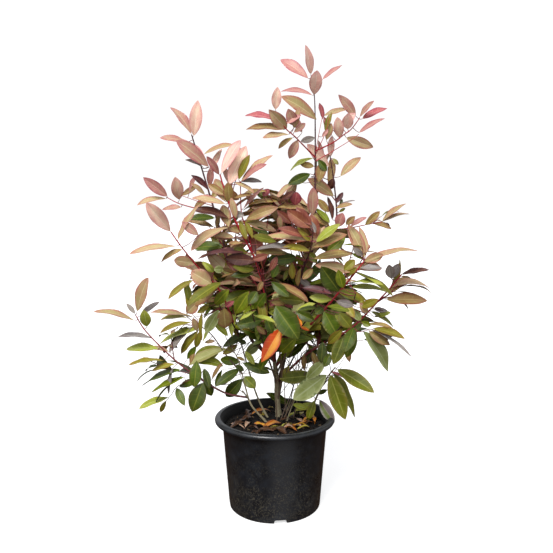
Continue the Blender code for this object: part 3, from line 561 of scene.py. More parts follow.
        (-15, 58.8, -17.6, 61.4, 1.5, "lime", 0.3), (-15.4, 55.8, -20.6, 58.9, 3.8, "tan"),
        (-15.2, 58.6, -17.8, 61.2, 0.9, "lime"), (-14, 54.6, -20.8, 50.6, 2.6, "bronze"),
        (-16.2, 50.4, -19.2, 48.6, 1.3, "olive"), (-15.4, 51.4, -18.6, 52.6, 1.2, "tan"),
        (-11.2, 54.6, -14.8, 50.8, 2.4, "green"), (-13.2, 52.2, -16.8, 51.6, 1, "bronze"),
        (-13.2, 56.2, -21.8, 50.2, 2.3, "olive", 0.06), (-12.2, 50.2, -10, 51.6, 1.4, "crimson"),
        (-12.6, 50, -12.2, 44.8, 3.4, "bronze"), (-13.8, 49.4, -17.2, 43.6, 2.8, "sage"),
        (-15.4, 46.6, -11.6, 42.8, 1.6, "lime"), (-14.4, 47, -18, 41, 0.9, "lime"),
        (-18.8, 51.4, -21.8, 48.6, 2.6, "tan"),
    ],
    "front_right_shoot": [
        (17.4, 51, 19.8, 47.4, 1.8, "olive"), (16.8, 44.4, 13.2, 40.8, 2.2, "olive"),
        (17.4, 41.8, 15.8, 37.4, 2.2, "deep"), (22.6, 45.8, 29, 45.2, 0.8, "bronze"),
        (22.4, 51, 18, 53.8, 2, "olive"), (21.2, 46.6, 19.4, 49.8, 1.8, "sage"),
        (23, 48.6, 21, 51, 1.6, "tan"), (20.2, 44.4, 17.8, 37.4, 2.6, "green"),
        (15.4, 42.8, 13.4, 38.6, 2.4, "deep"), (21, 50, 25.6, 52, 1.8, "olive"),
        (21.4, 46.4, 23.8, 45.4, 1.4, "green"), (17.2, 42.8, 14.6, 35.6, 3, "moss", 0.1),
        (19.6, 45, 17.4, 38.8, 2.6, "green", 0.1), (16.8, 54.8, 15.6, 59.4, 2.2, "green"),
        (17, 59.2, 19.7, 61.8, 2, "olive"), (15.8, 54, 11.4, 60.2, 3.8, "deep"),
        (15.6, 53.9, 22.6, 51.9, 2, "olive", 0.1),
    ],
}

# Fallen leaves that show: both ends x, y and tip_x, tip_y and the width in cm, and the kind.
FALLEN_LEAVES = [
    (-2.9, -6.2, 1.6, -2.2, 1.9, "fallen_orange"), (-2.2, -6.4, 2.2, -5.2, 1.5, "fallen_ochre"),
    (1.2, -6.6, 4.9, -3.2, 1.5, "fallen_green"), (6, -3.6, 10.4, -1, 1.7, "fallen_orange"),
    (3.4, 1.6, 6.4, 5.6, 1.5, "fallen_green"), (7.6, 5, 10.4, 1.6, 1.6, "fallen_green"),
    (-1.6, -5.4, -6, -3.4, 1.4, "fallen_orange"), (5.4, -6.9, 9, -4.6, 1.4, "fallen_ochre"),
    (-8.9, -1.9, -5.6, 2.4, 1.4, "fallen_brown"), (-6.4, 3.4, -0.8, 7.4, 1.5, "fallen_orange"),
    (-11.6, -1.6, -7.2, -5, 1, "fallen_pale"), (-7.2, -5, -6.4, -1.4, 1.2, "fallen_pale"),
    (-6.8, -5.6, -3.6, -6.8, 1.4, "fallen_brown"), (2, -5.8, 4.6, -5.2, 1.7, "fallen_pale"),
    (2.4, -3.2, 4, -5.8, 1.5, "fallen_ochre"), (5, 1.4, 7.2, -2.8, 1.6, "fallen_pale"),
    (6.6, -2.4, 10, 1.6, 1.8, "fallen_orange"), (8.8, 2.6, 10, -1.8, 1.6, "fallen_orange"),
    (4.9, -4.4, 7, -6.2, 1.2, "fallen_pale"), (1.2, -0.6, 4.2, 1, 0.9, "fallen_brown"),
    (3.3, -3.8, 7.4, -4.6, 1.4, "fallen_brown"), (-2.6, 0.4, -0.6, -2.2, 1, "fallen_brown"),
]

# Gaps that stay open to the sky: x, z and radius in cm, as seen.
GAPS = [
    (-15.4, 92.2, 2.4), (-5, 91.4, 1.4), (-25.6, 63.8, 2), (-24.6, 60.8, 1.5), (6.8, 79.8, 1.7),
    (-1.4, 80, 1.3), (2.8, 80.8, 1.5), (-3, 28.6, 3.4), (3.6, 27.4, 1.6), (-2.8, 31.2, 2.2),
    (-12.4, 37.2, 1.3), (-9.6, 39, 1.3), (-6.2, 39.4, 1.4), (-4.8, 37.6, 1.2), (-10.2, 33.2, 1),
    (-13.2, 42.6, 1.2), (-16, 32.6, 1), (-2.6, 36, 0.9), (13.2, 30.4, 1), (16.6, 36.6, 1.2),
    (21.6, 39.2, 1.7), (23, 36, 2), (31.5, 47, 3), (26, 57.6, 1.4), (27.6, 61.4, 1), (16.8, 52.4, 1),
    (10.4, 57.4, 1.6), (25.6, 67.2, 2.6), (30, 68, 3), (19.2, 66.4, 1.2), (19.2, 73.8, 1.5),
    (19, 78, 2.5), (12.3, 76.6, 1.5), (0.8, 79.8, 1.5), (-6.9, 79.2, 1.1), (11, 63.6, 1),
    (-17.5, 61, 1.2), (-13.4, 61.2, 1.2), (-14, 57.8, 1.1), (-20.8, 57.6, 1.2), (-14, 53.6, 1.3),
    (-16.4, 72.6, 1), (-2.8, 71.8, 1), (-17.6, 76, 0.9), (6, 84.6, 2), (-2, 84, 2.5), (20, 84, 3),
    (-3, 92, 2.5), (-8, 92.6, 1.5), (-3.4, 88.6, 2), (-22.4, 67, 2), (-27, 62, 2.2), (-23.5, 59.4, 2.2),
    (-24.6, 56, 2), (-17, 82.6, 1.5), (5.4, 82.6, 2), (31.6, 60, 1.6), (34.6, 57.4, 1.2),
    (-23.6, 85, 2), (-27.6, 45.4, 1), (-29, 47.8, 1), (27.8, 57.4, 0.9), (-24.4, 52, 1.4),
]

# The kinds of leaf that a mass of each tint bears, with their shares.
TINTS = {
    "foliage_rose": {"rose": 4, "tan": 4, "blush": 2, "bronze": 2, "crimson": 1},
    "foliage_bronze": {"bronze": 5, "tan": 5, "olive": 3, "russet": 2, "maroon": 0.7, "deep": 0.7},
    "foliage_olive": {"olive": 5, "bronze": 2, "green": 3, "deep": 2, "tan": 1},
    "foliage_green": {"green": 5, "deep": 4, "olive": 2, "lime": 1, "sage": 1},
}

# How many twigs each mass gets, under the material slot of its tint.
MASSES = {
    "foliage_rose": {
        "crest": 0, "crest_left": 1, "crest_right": 1, "second_leader": 3, "left_leader": 0,
        "tuft": 3, "left_upper": 0, "left": 1,
    },
    "foliage_bronze": {
        "leader": 4, "left_leader_lower": 9, "left_lower": 10, "centre": 18, "centre_upper": 13,
        "centre_right": 16, "right_upper": 1, "right": 5, "back_upper": 12,
    },
    "foliage_olive": {
        "far_left": 0, "left_mid": 3, "mid_right": 16, "right_outer": 3, "front_left": 18,
        "front_right": 18, "back_left": 17,
    },
    "foliage_green": {
        "far_left_lower": 1, "low_left": 5, "low_left_inner": 13, "centre_front": 24,
        "centre_left": 13, "right_drooping": 5, "right_low": 2, "low_right_inner": 9,
        "low_right": 14, "back": 20, "back_right": 17,
    },
}

# How much nearer or deeper than their mass the sprays of some masses reach, in cm.
DEPTHS = {
    "centre": (0, 12), "centre_upper": (0, 12), "centre_right": (2, 13), "centre_left": (0, 12),
    "mid_right": (2, 13), "left_leader_lower": (-2, 12), "centre_front": (-2, 8),
    "low_right": (0, 10), "low_left_inner": (-4, 8), "low_right_inner": (-4, 8),
    "leader": (0, 9), "right": (0, 12), "left_lower": (-2, 12), "back": (-24, 0),
    "back_left": (-20, 0), "back_right": (-21, 0), "back_upper": (-14, 1), "right_low": (-6, 8),
    "low_left": (-6, 8), "left": (0, 8), "second_leader": (-3, 6), "tuft": (-2, 8),
}

# Colours of each kind of leaf: for each look of its upper skin the blade, its mottling, its
# margin and its rib, then the same for the underside.
LEAF_COLOURS = {
    "rose": (
        ("#C08C7E", "#B47872", "#A85C64", "#D6B4A0"),
        ("#B47F74", "#A86C68", "#9A5058", "#CCA690"),
        ("#B49478", "#B07C70", "#A86064", "#CCB496"),
        ("#DEC0AE", "#D2AA9E", "#C5908C", "#BF8C84"),
    ),
    "blush": (
        ("#EEC9B8", "#E4B0A2", "#D48E8E", "#F2DECC"),
        ("#EACAB0", "#E2B4A2", "#D49690", "#F0DCC4"),
        ("#EAD6BE", "#E0C2AC", "#D6AA9A", "#CFA494"),
    ),
    "tan": (
        ("#A9986A", "#AC8C68", "#A8685E", "#CABC8E"),
        ("#A69664", "#A68660", "#A26056", "#C8BC88"),
        ("#B4A274", "#B08C6C", "#AC6C62", "#CEC096"),
        ("#C8B894", "#BEA688", "#B48876", "#AA8268"),
    ),
    "crimson": (
        ("#B0605E", "#A04A52", "#90384A", "#CE948A"),
        ("#97494A", "#853A40", "#742C38", "#B87468"),
        ("#BD827A", "#AD6A66", "#9C4E56", "#924646"),
    ),
    "bronze": (
        ("#9C8450", "#927046", "#8C5240", "#BEA872"),
        ("#937A46", "#876440", "#7A4436", "#B69E6C"),
        ("#9A8648", "#927446", "#8E5A40", "#BEAE70"),
        ("#B6A274", "#A88E66", "#9C765A", "#8A694C"),
    ),
    "russet": (
        ("#85493A", "#743C2E", "#682F2A", "#A87A56"),
        ("#925A42", "#824A34", "#74382E", "#B28660"),
        ("#A07C60", "#90694E", "#805044", "#6E4636"),
    ),
    "maroon": (
        ("#54282A", "#422020", "#37181C", "#7E4E44"),
        ("#61382C", "#4C2820", "#431F1F", "#886048"),
        ("#957A66", "#836454", "#704C40", "#603E32"),
    ),
    "olive": (
        ("#7E7824", "#706C1D", "#7D5C25", "#A39B42"),
        ("#8D842A", "#7F7624", "#8A652C", "#B1A74D"),
        ("#646716", "#575A12", "#5F5118", "#8A862E"),
        ("#A19B5C", "#938E50", "#8C7B47", "#7B793B"),
    ),
    "lime": (
        ("#98A03C", "#868E30", "#8E8A3A", "#BCC078"),
        ("#B6B674", "#A6A660", "#A89C60", "#D0CE9A"),
        ("#ACAE70", "#9E9F60", "#949156", "#878A46"),
    ),
    "green": (
        ("#536610", "#43560C", "#4F530E", "#86862E"),
        ("#45580C", "#38480A", "#41450D", "#75782A"),
        ("#6A7614", "#5A6611", "#626314", "#9A9632"),
        ("#868B4D", "#787C40", "#747138", "#6B732E"),
    ),
    "moss": (
        ("#5C6412", "#4E560E", "#6A661C", "#929444"),
        ("#6A7216", "#5E6412", "#787026", "#A09E4C"),
        ("#8C8C52", "#7C7C46", "#7C7444", "#6C7036"),
    ),
    "deep": (
        ("#39460A", "#2D3807", "#33360B", "#6A6E23"),
        ("#414F0B", "#354308", "#3D3D0D", "#747728"),
        ("#727A43", "#636C38", "#5E6332", "#555E28"),
    ),
    "sage": (
        ("#828C46", "#929C5E", "#B6BC86", "#B8C090"),
        ("#8E9C68", "#7E8E5A", "#78844E", "#687A44"),
    ),
    "slate": (
        ("#857E78", "#726A68", "#6C5654", "#AAA298"),
        ("#968E86", "#847C74", "#806A66", "#B6AEA0"),
        ("#A69C8C", "#968C7C", "#887A6C", "#7C6E60"),
    ),
    "flame": (
        ("#DC9024", "#CA4C1C", "#BA3E22", "#E4A446"),
        ("#D49A48", "#C8763A", "#B45632", "#AA6C32"),
    ),
    "half_turned": (
        ("#6E6260", "#5A6624", "#8E8480", "#8A8668"),
        ("#8A7E7A", "#70743E", "#90867A", "#7C745A"),
    ),
    "fallen_orange": (
        ("#A8862A", "#B8641E", "#8E4218", "#BE9A48"),
        ("#B4762A", "#96501E", "#70341A", "#C0923E"),
        ("#A0703A", "#84562C", "#643C20", "#76502A"),
    ),
    "fallen_green": (
        ("#9AA03A", "#7C842A", "#A08A34", "#C4C47A"),
        ("#9C9A5C", "#86844A", "#8A7A44", "#76743C"),
    ),
    "fallen_ochre": (
        ("#9A8C34", "#867A2C", "#6E5422", "#B8AA5C"),
        ("#A4925C", "#8A7848", "#6A5634", "#78663C"),
    ),
    "fallen_pale": (
        ("#B8A87A", "#A08C5C", "#8A6850", "#CEC098"),
        ("#AE9278", "#94745C", "#7A5446", "#C2AA90"),
        ("#B8A688", "#A08C6C", "#7E6850", "#8C7458"),
    ),
    "fallen_brown": (
        ("#4A2E1C", "#362216", "#281810", "#685036"),
        ("#5E442E", "#4A3424", "#362418", "#3E2C1C"),
    ),
}

# Kinds whose two halves differ, across the rib.
HALVED = ("flame", "half_turned")
FALLEN_KINDS = ("fallen_orange", "fallen_green", "fallen_ochre", "fallen_pale", "fallen_brown")

# Each piece of leaves: its material slot and its kinds.
LEAF_PIECES = {
    "rose_leaves": ("foliage_rose", ("rose", "blush", "tan", "crimson")),
    "bronze_leaves": ("foliage_bronze", ("bronze", "russet", "maroon", "slate")),
    "olive_leaves": ("foliage_olive", ("olive", "lime", "moss")),
    "green_leaves": ("foliage_green", ("green", "deep", "sage")),
    "turning_leaves": ("foliage_bronze", HALVED),
    "fallen_leaves": ("foliage_bronze", FALLEN_KINDS),
}

# How one leaf is bent: arch, curl and wave are shares of its size, fold and twist are angles.
Shape = namedtuple("Shape", "arch fold curl wave turns phase twist wide_at")

# Settings that nodes share.
COLOURED = {"data_type": "RGBA"}
SMOOTH = {"interpolation_type": "SMOOTHSTEP"}
SEEDED = {"noise_dimensions": "4D"}
TIMES = {"operation": "MULTIPLY"}
TIMES_PLUS = {"operation": "MULTIPLY_ADD"}

# Leaf wax has an IOR of about 1.43 and peat about 1.4. Both are lowered, because bloom and crumbs
# dull their reflection. The upper skin is waxed smooth and the underside is rough. A patch of
# mottling is 0.3 of the leaf, which is 25 mm on a blade of 85 mm.
LEAF_IOR = 1.34
MIX_IOR = 1.33
WAXED = 0.4
UNWAXED = 0.62
MOTTLE = 0.3
VEIN_PAIRS = 10.0


# Materials.


def linear(code):
    """The linear RGBA of a colour written as sRGB hex."""
    channels = [int(code[start : start + 2], 16) / 255 for start in (1, 3, 5)]
    return (*[c / 12.92 if c <= 0.04045 else ((c + 0.055) / 1.055) ** 2.4 for c in channels], 1)


def node(tree, kind, inputs=None, **settings):
    """Adds a node and gives its outputs.

    Inputs are values or other outputs: a list in the order of the sockets, or a map by socket.
    """
    made = tree.nodes.new("ShaderNode" + kind)
    for name, value in settings.items():
        setattr(made, name, value)
    inputs = dict(enumerate(inputs)) if isinstance(inputs, list) else inputs or {}
    for socket, value in inputs.items():
        if isinstance(value, bpy.types.NodeSocket):
            tree.links.new(value, made.inputs[socket])
        else:
            made.inputs[socket].default_value = value
    return made.outputs


def new_finish(name, roughness, ior):
    """A material, its tree and its shader."""
    made = bpy.data.materials.new(name)
    made.use_nodes = True
    shader = made.node_tree.nodes["Principled BSDF"]
    shader.inputs["Roughness"].default_value = roughness
    shader.inputs["IOR"].default_value = ior
    return made, made.node_tree, shader


def leaf_skin(name, colours, seed, glossy, halves):
    """Leaf under its wax: mottled blade, flushed margin, pale rib and side veins, soft gloss.

    With halves, the blade turns from its first colour to its second across the rib.
    """
    made, tree, shader = new_finish(name, WAXED if glossy else UNWAXED, LEAF_IOR)
    blade, mottle, margin, rib = (linear(code) for code in colours)
    where = node(tree, "UVMap", uv_map="leaf")[0]
    split = node(tree, "SeparateXYZ", [where])
    off_rib = node(tree, "Math", [split[0], 0.5], operation="SUBTRACT")[0]
    aside = node(tree, "Math", [off_rib], operation="ABSOLUTE")[0]
    slant = node(tree, "Math", [split[1], VEIN_PAIRS], **TIMES)[0]
    slant = node(tree, "Math", [aside, -2.0, slant], **TIMES_PLUS)[0]
    across_vein = node(tree, "Math", [slant, 1.0], operation="PINGPONG")[0]
    vein = node(tree, "MapRange", [across_vein, 0.0, 0.16, 1.0, 0.0], **SMOOTH)[0]
    rib_line = node(tree, "MapRange", [aside, 0.02, 0.05, 1.0, 0.0], **SMOOTH)[0]
    spots = node(tree, "TexNoise", {0: where, "W": seed, "Scale": 1 / MOTTLE, "Detail": 3.0}, **SEEDED)[0]
    turned_part = node(tree, "MapRange", [spots, 0.38, 0.66], **SMOOTH)[0]
    if halves:
        ragged = node(tree, "Math", [spots, 0.3, split[0]], **TIMES_PLUS)[0]
        turned_part = node(tree, "MapRange", [ragged, 0.56, 0.74], **SMOOTH)[0]
    colour = node(tree, "Mix", {0: turned_part, 6: blade, 7: mottle}, **COLOURED)[2]
    worn = node(tree, "Math", [spots, 0.18, aside], **TIMES_PLUS)[0]
    edge = node(tree, "MapRange", [worn, 0.36, 0.6], **SMOOTH)[0]
    tip = node(tree, "MapRange", [split[1], 0.7, 1.0, 0.0, 0.8], **SMOOTH)[0]
    flush = node(tree, "Math", [edge, tip], operation="MAXIMUM")[0]
    colour = node(tree, "Mix", {0: flush, 6: colour, 7: margin}, **COLOURED)[2]
    paler = node(tree, "Math", [vein, 0.22], **TIMES)[0]
    colour = node(tree, "Mix", {0: paler, 6: colour, 7: rib}, **COLOURED)[2]
    palest = node(tree, "Math", [rib_line, 0.6], **TIMES)[0]
    colour = node(tree, "Mix", {0: palest, 6: colour, 7: rib}, **COLOURED)[2]
    tree.links.new(colour, shader.inputs["Base Color"])
    sunk = node(tree, "Math", [vein, 0.4, rib_line], **TIMES_PLUS)[0]
    depth = (-0.5 if glossy else 0.5) * MM
    normal = node(tree, "Bump", {"Height": sunk, "Distance": depth, "Strength": 0.6})[0]
    tree.links.new(normal, shader.inputs["Normal"])
    return made


def bark_finish(name, foot, crown, crack, gloss):
    """Thin young bark: streaked along the limb, with pale specks, and its crown colour higher up."""
    made, tree, shader = new_finish(name, gloss, 1.45)
    where = node(tree, "TexCoord")["Object"]
    height = node(tree, "SeparateXYZ", [where])[2]
    along = node(tree, "Mapping", {"Vector": where, "Scale": (1, 1, 0.25)})[0]
    streaks = node(tree, "TexNoise", {0: along, "Scale": 1 / (1.8 * MM), "Detail": 5.0}, **SEEDED)[0]
    fine = {0: where, "W": 3.0, "Scale": 1 / (1.2 * MM), "Detail": 2.0}
    specks = node(tree, "TexNoise", fine, **SEEDED)[0]
    aloft = node(tree, "MapRange", [height, 0.26, 0.62], **SMOOTH)[0]
    colour = node(tree, "Mix", {0: aloft, 6: linear(foot), 7: linear(crown)}, **COLOURED)[2]
    sunk = node(tree, "MapRange", [streaks, 0.5, 0.3, 0.0, 0.75], **SMOOTH)[0]
    colour = node(tree, "Mix", {0: sunk, 6: colour, 7: linear(crack)}, **COLOURED)[2]
    speck = node(tree, "MapRange", [specks, 0.66, 0.74, 0.0, 0.4], **SMOOTH)[0]
    colour = node(tree, "Mix", {0: speck, 6: colour, 7: linear("#B5A88F")}, **COLOURED)[2]
    tree.links.new(colour, shader.inputs["Base Color"])
    normal = node(tree, "Bump", {"Height": streaks, "Distance": 0.5 * MM, "Strength": 0.7})[0]
    tree.links.new(normal, shader.inputs["Normal"])
    return made


def pot_plastic():
    """Moulded black polypropylene: satin, faintly blue, with scuffs, dust low down and grain."""
    made, tree, shader = new_finish("moulded_polypropylene", 0.3, 1.49)
    where = node(tree, "TexCoord")["Object"]
    height = node(tree, "SeparateXYZ", [where])[2]
    stretched = node(tree, "Mapping", {"Vector": where, "Scale": (1, 1, 1.4)})[0]
    wear = node(tree, "TexNoise", {0: stretched, "Scale": 1 / (30 * MM), "Detail": 6.0}, **SEEDED)[0]
    fine = {0: where, "W": 2.0, "Scale": 1 / (2.4 * MM), "Detail": 4.0}
    dust = node(tree, "TexNoise", fine, **SEEDED)[0]
    broad = {0: where, "W": 5.0, "Scale": 1 / (40 * MM), "Detail": 3.0}
    patches = node(tree, "TexNoise", broad, **SEEDED)[0]
    low = node(tree, "MapRange", [height, 0.02, 0.17, 1.0, 0.22], **SMOOTH)[0]
    dust = node(tree, "MapRange", [dust, 0.5, 0.64], **SMOOTH)[0]
    patches = node(tree, "MapRange", [patches, 0.25, 0.55], **SMOOTH)[0]
    cover = node(tree, "Math", [dust, patches], **TIMES)[0]
    cover = node(tree, "Math", [cover, low], **TIMES)[0]
    worn = node(tree, "MapRange", [wear, 0.4, 0.7], **SMOOTH)[0]
    colour = node(tree, "Mix", {0: worn, 6: linear("#131519"), 7: linear("#1A1E24")}, **COLOURED)[2]
    thin = node(tree, "Math", [cover, 0.42], **TIMES)[0]
    colour = node(tree, "Mix", {0: thin, 6: colour, 7: linear("#6A6452")}, **COLOURED)[2]
    tree.links.new(colour, shader.inputs["Base Color"])
    rough = node(tree, "MapRange", [wear, 0.3, 0.7, 0.26, 0.4], **SMOOTH)[0]
    rough = node(tree, "Math", [cover, 0.3, rough], **TIMES_PLUS)[0]
    tree.links.new(rough, shader.inputs["Roughness"])
    finest = {0: where, "W": 1.0, "Scale": 1 / (1.4 * MM), "Detail": 3.0}
    moulded = node(tree, "TexNoise", finest, **SEEDED)[0]
    normal = node(tree, "Bump", {"Height": moulded, "Distance": 0.12 * MM, "Strength": 0.5})[0]
    tree.links.new(normal, shader.inputs["Normal"])
    return made


def matt_painted_shade_plastic():
    """The pot's inner face: black polypropylene off a blasted core, matt, with traces of soil. Its black
    is darker than the outer face's: painted shade inside the pot.
    """
    made, tree, shader = new_finish("matt_painted_shade_polypropylene", 0.75, 1.4)
    where = node(tree, "TexCoord")["Object"]
    soil = node(tree, "TexNoise", {0: where, "Scale": 1 / (6 * MM), "Detail": 5.0}, **SEEDED)[0]
    soil = node(tree, "MapRange", [soil, 0.5, 0.75], **SMOOTH)[0]
    # The near black is painted shade. It is darker than the outer plastic so that the inside of the pot
    # looks shaded. The brown patches are soil.
    colour = node(tree, "Mix", {0: soil, 6: linear("#0B0B0C"), 7: linear("#1C1713")}, **COLOURED)[2]
    tree.links.new(colour, shader.inputs["Base Color"])
    blasted = node(tree, "TexNoise", {0: where, "Scale": 1 / (1.5 * MM), "Detail": 3.0}, **SEEDED)[0]
    normal = node(tree, "Bump", {"Height": blasted, "Distance": 0.1 * MM, "Strength": 0.5})[0]
    tree.links.new(normal, shader.inputs["Normal"])
    return made


def mix_finish(name, dark, light):
    """Composted bark and peat: nearly black, with brown crumbs, quite matt."""
    made, tree, shader = new_finish(name, 0.95, MIX_IOR)
    where = node(tree, "TexCoord")["Object"]
    crumbs = node(tree, "TexNoise", {0: where, "Scale": 1 / (2.2 * MM), "Detail": 5.0}, **SEEDED)[0]
    broad = {0: where, "W": 4.0, "Scale": 1 / (11 * MM), "Detail": 3.0}
    clods = node(tree, "TexNoise", broad, **SEEDED)[0]
    pale = node(tree, "MapRange", [crumbs, 0.45, 0.72], **SMOOTH)[0]
    colour = node(tree, "Mix", {0: pale, 6: linear(dark), 7: linear(light)}, **COLOURED)[2]
    damp = node(tree, "MapRange", [clods, 0.6, 0.35, 0.0, 0.6], **SMOOTH)[0]
    colour = node(tree, "Mix", {0: damp, 6: colour, 7: linear("#080605")}, **COLOURED)[2]
    tree.links.new(colour, shader.inputs["Base Color"])
    normal = node(tree, "Bump", {"Height": crumbs, "Distance": 1.2 * MM})[0]
    tree.links.new(normal, shader.inputs["Normal"])
    return made


def plaster_floor():
    """Lit white plaster, matt, with the faintest trowel marks."""
    made, tree, shader = new_finish("painted_plaster", 0.9, 1.45)
    where = node(tree, "TexCoord")["Object"]
    marks = node(tree, "TexNoise", {0: where, "Scale": 1 / (600 * MM), "Detail": 3.0}, **SEEDED)[0]
    marks = node(tree, "MapRange", [marks, 0.3, 0.7], **SMOOTH)[0]
    colour = node(tree, "Mix", {0: marks, 6: linear("#B9B9B8"), 7: linear("#BEBEBE")}, **COLOURED)[2]
    tree.links.new(colour, shader.inputs["Base Color"])
    shader.inputs["Emission Color"].default_value = (1, 1, 1, 1)
    shader.inputs["Emission Strength"].default_value = FLOOR_GLOW
    return made


# Shapes gathered into pieces.


class Heap:
    """Small shapes gathered into one piece, with the material and leaf place of each face."""

    def __init__(self):
        self.points = []
        self.faces = []
        self.finishes = []
        self.places = []
        self.count = 0

    def add(self, points, faces, finishes, places=None):
        """Adds one shape. Finishes is one number, or one for each face."""
        start = self.count
        self.points.append(points)
        self.faces += [[start + corner for corner in face] for face in faces]
        self.finishes += finishes if isinstance(finishes, list) else [finishes] * len(faces)
        if places is not None:
            self.places.append(places)
        self.count += len(points)

    def piece(self, name, materials, slot):
        """The joined mesh as a piece that rides on the body."""
        mesh = bpy.data.meshes.new(name)
        mesh.from_pydata(np.concatenate(self.points).tolist(), [], self.faces)
        for material in materials:
            mesh.materials.append(material)
        mesh.polygons.foreach_set("material_index", self.finishes)
        if self.places:
            self.map_leaves(mesh)
        mesh.shade_smooth()
        mesh.set_sharp_from_angle(angle=CREASE)
        made = bpy.data.objects.new(name, mesh)
        bpy.context.scene.collection.objects.link(made)
        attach(made, "root")
        return made

    def map_leaves(self, mesh):
        """Two maps: the place on the leaf, and a tile of one shared sheet for each material."""
        corners = np.empty(len(mesh.loops), int)
        mesh.loops.foreach_get("vertex_index", corners)
        places = np.concatenate(self.places)[corners]
        tiles = np.repeat(self.finishes, [len(face) for face in self.faces])
        origin = np.stack([tiles % ATLAS_TILES, tiles // ATLAS_TILES], 1)
        sheet = (origin + TILE_MARGIN + (1 - 2 * TILE_MARGIN) * places) / ATLAS_TILES
        for name, spots in (("leaf", places), ("OFBake", sheet)):
            layer = mesh.uv_layers.new(name=name)
            layer.data.foreach_set("uv", spots.ravel())


def leaf_faces():
    """The faces of any leaf, the side that each is on, and the place of each point."""
    rows, columns = LEAF_ROWS, LEAF_COLUMNS
    inner = columns - 2
    tip = 1 + rows * columns + rows * inner
    top = [[1 + row * columns + column for column in range(columns)] for row in range(rows)]
    under = []
    for row in range(rows):
        start = 1 + rows * columns + row * inner
        under.append([top[row][0], *range(start, start + inner), top[row][-1]])
    faces = []
    for row in range(rows - 1):
        for column in range(columns - 1):
            near, far = top[row], top[row + 1]
            faces.append([near[column], near[column + 1], far[column + 1], far[column]])
    for column in range(columns - 1):
        faces.append([0, top[0][column + 1], top[0][column]])
        faces.append([top[-1][column], top[-1][column + 1], tip])
    names = {top[row][column]: under[row][column] for row in range(rows) for column in range(columns)}
    below = [[names.get(corner, corner) for corner in reversed(face)] for face in faces]
    sides = [0] * len(faces) + [1] * len(below)
    share = np.linspace(0, 1, columns)
    steps = leaf_steps()
    places = [(0.5, 0.0)]
    places += [(u, v) for v in steps for u in share]
    places += [(u, v) for v in steps for u in share[1:-1]]
    places.append((0.5, 1.0))
    return faces + below, sides, np.array(places)


def leaf_steps():
    """Where the cross rows lie along a leaf, closer at both ends."""
    even = np.arange(1, LEAF_ROWS + 1) / (LEAF_ROWS + 1)
    return even - ROW_CROWDING * np.sin(2 * math.pi * even)


LEAF_FACES, LEAF_SIDES, LEAF_PLACES = leaf_faces()
LEAF_STEPS = leaf_steps()


def leaf_outline(wide_at):
    """Half widths along a pointed leaf as shares of the largest, which lies at wide_at."""
    rise, fall = OUTLINE_POWER * wide_at, OUTLINE_POWER * (1 - wide_at)
    widths = LEAF_STEPS**rise * (1 - LEAF_STEPS) ** fall
    return widths / (wide_at**rise * (1 - wide_at) ** fall)


def leaf_points(base, tip, facing, width, shape):
    """The points of a thin closed leaf: folded at its rib, arched, waved and twisted."""
    base, tip, facing = (np.array(vector, float) for vector in (base, tip, facing))
    reach = tip - base
    length = np.linalg.norm(reach)
    along = reach / length
    across = np.cross(along, facing)
    across /= np.linalg.norm(across)
    up = np.cross(across, along)
    steps = LEAF_STEPS[:, None]
    curled = np.clip((steps - CURL_START) / (1 - CURL_START), 0, 1)
    rise = shape.arch * 4 * steps * (1 - steps) - shape.curl * curled**2
    line = base + steps * reach + rise * length * up
    turn = shape.twist * (steps - 0.4)
    level = np.cos(turn) * across + np.sin(turn) * up
    upright = np.cos(turn) * up - np.sin(turn) * across
    half = (width / 2 * leaf_outline(shape.wide_at))[:, None, None]
    share = np.linspace(-1, 1, LEAF_COLUMNS)[None, :, None]
    size = np.abs(share)
    wave = shape.wave * np.sin(2 * math.pi * shape.turns * steps[:, :, None] + shape.phase + share)
    lift = math.sin(shape.fold) * (size - 0.45 * size**2) + wave * size**2
    top = line[:, None] + half * (share * math.cos(shape.fold) * level[:, None] + lift * upright[:, None])
    under = top[:, 1:-1] - LEAF_THICKNESS * upright[:, None]
    end = tip - shape.curl * length * up
    return np.concatenate([[base], top.reshape(-1, 3), under.reshape(-1, 3), [end]])


def tube(path, radii, sides, swell=None):
    """Points and faces of a closed tube round a path, with radii scaled by swell at each point."""
    path = np.array(path, float)
    ahead = np.gradient(path, axis=0)
    ahead /= np.linalg.norm(ahead, axis=1)[:, None]
    side = np.cross(ahead[0], TUBE_SEAM)
    angles = np.arange(sides) * 2 * math.pi / sides
    rings = []
    for index, (point, forward, radius) in enumerate(zip(path, ahead, radii)):
        side = side - forward * side.dot(forward)
        side /= np.linalg.norm(side)
        other = np.cross(forward, side)
        reach = radius * (swell[index] if swell is not None else 1.0) * np.ones(sides)
        round_it = np.cos(angles)[:, None] * side + np.sin(angles)[:, None] * other
        rings.append(point + reach[:, None] * round_it)
    faces = []
    for ring in range(len(path) - 1):
        start = ring * sides
        for one in range(sides):
            two = (one + 1) % sides
            faces.append([start + one, start + two, start + sides + two, start + sides + one])
    last = (len(path) - 1) * sides
    faces.append(list(reversed(range(sides))))
    faces.append(list(range(last, last + sides)))
    return np.concatenate(rings), faces


# Limbs and shoots.


def place(x, z, depth):
    """The point that a place of the front elevation stands for."""
    on_plane = Vector((x, 0, z)) * CM
    return EYE + (on_plane - EYE) * (1 - depth * CM / EYE.y)


def seen(points):
    """Where the eye sees points on the plane y = 0, as x and z in cm."""
    points = np.array(points, float).reshape(-1, 3)
    eye = np.array(EYE)
    spread = 1 - points[:, 1] / eye[1]
    return ((eye + (points - eye) / spread[:, None]) / CM)[:, [0, 2]]


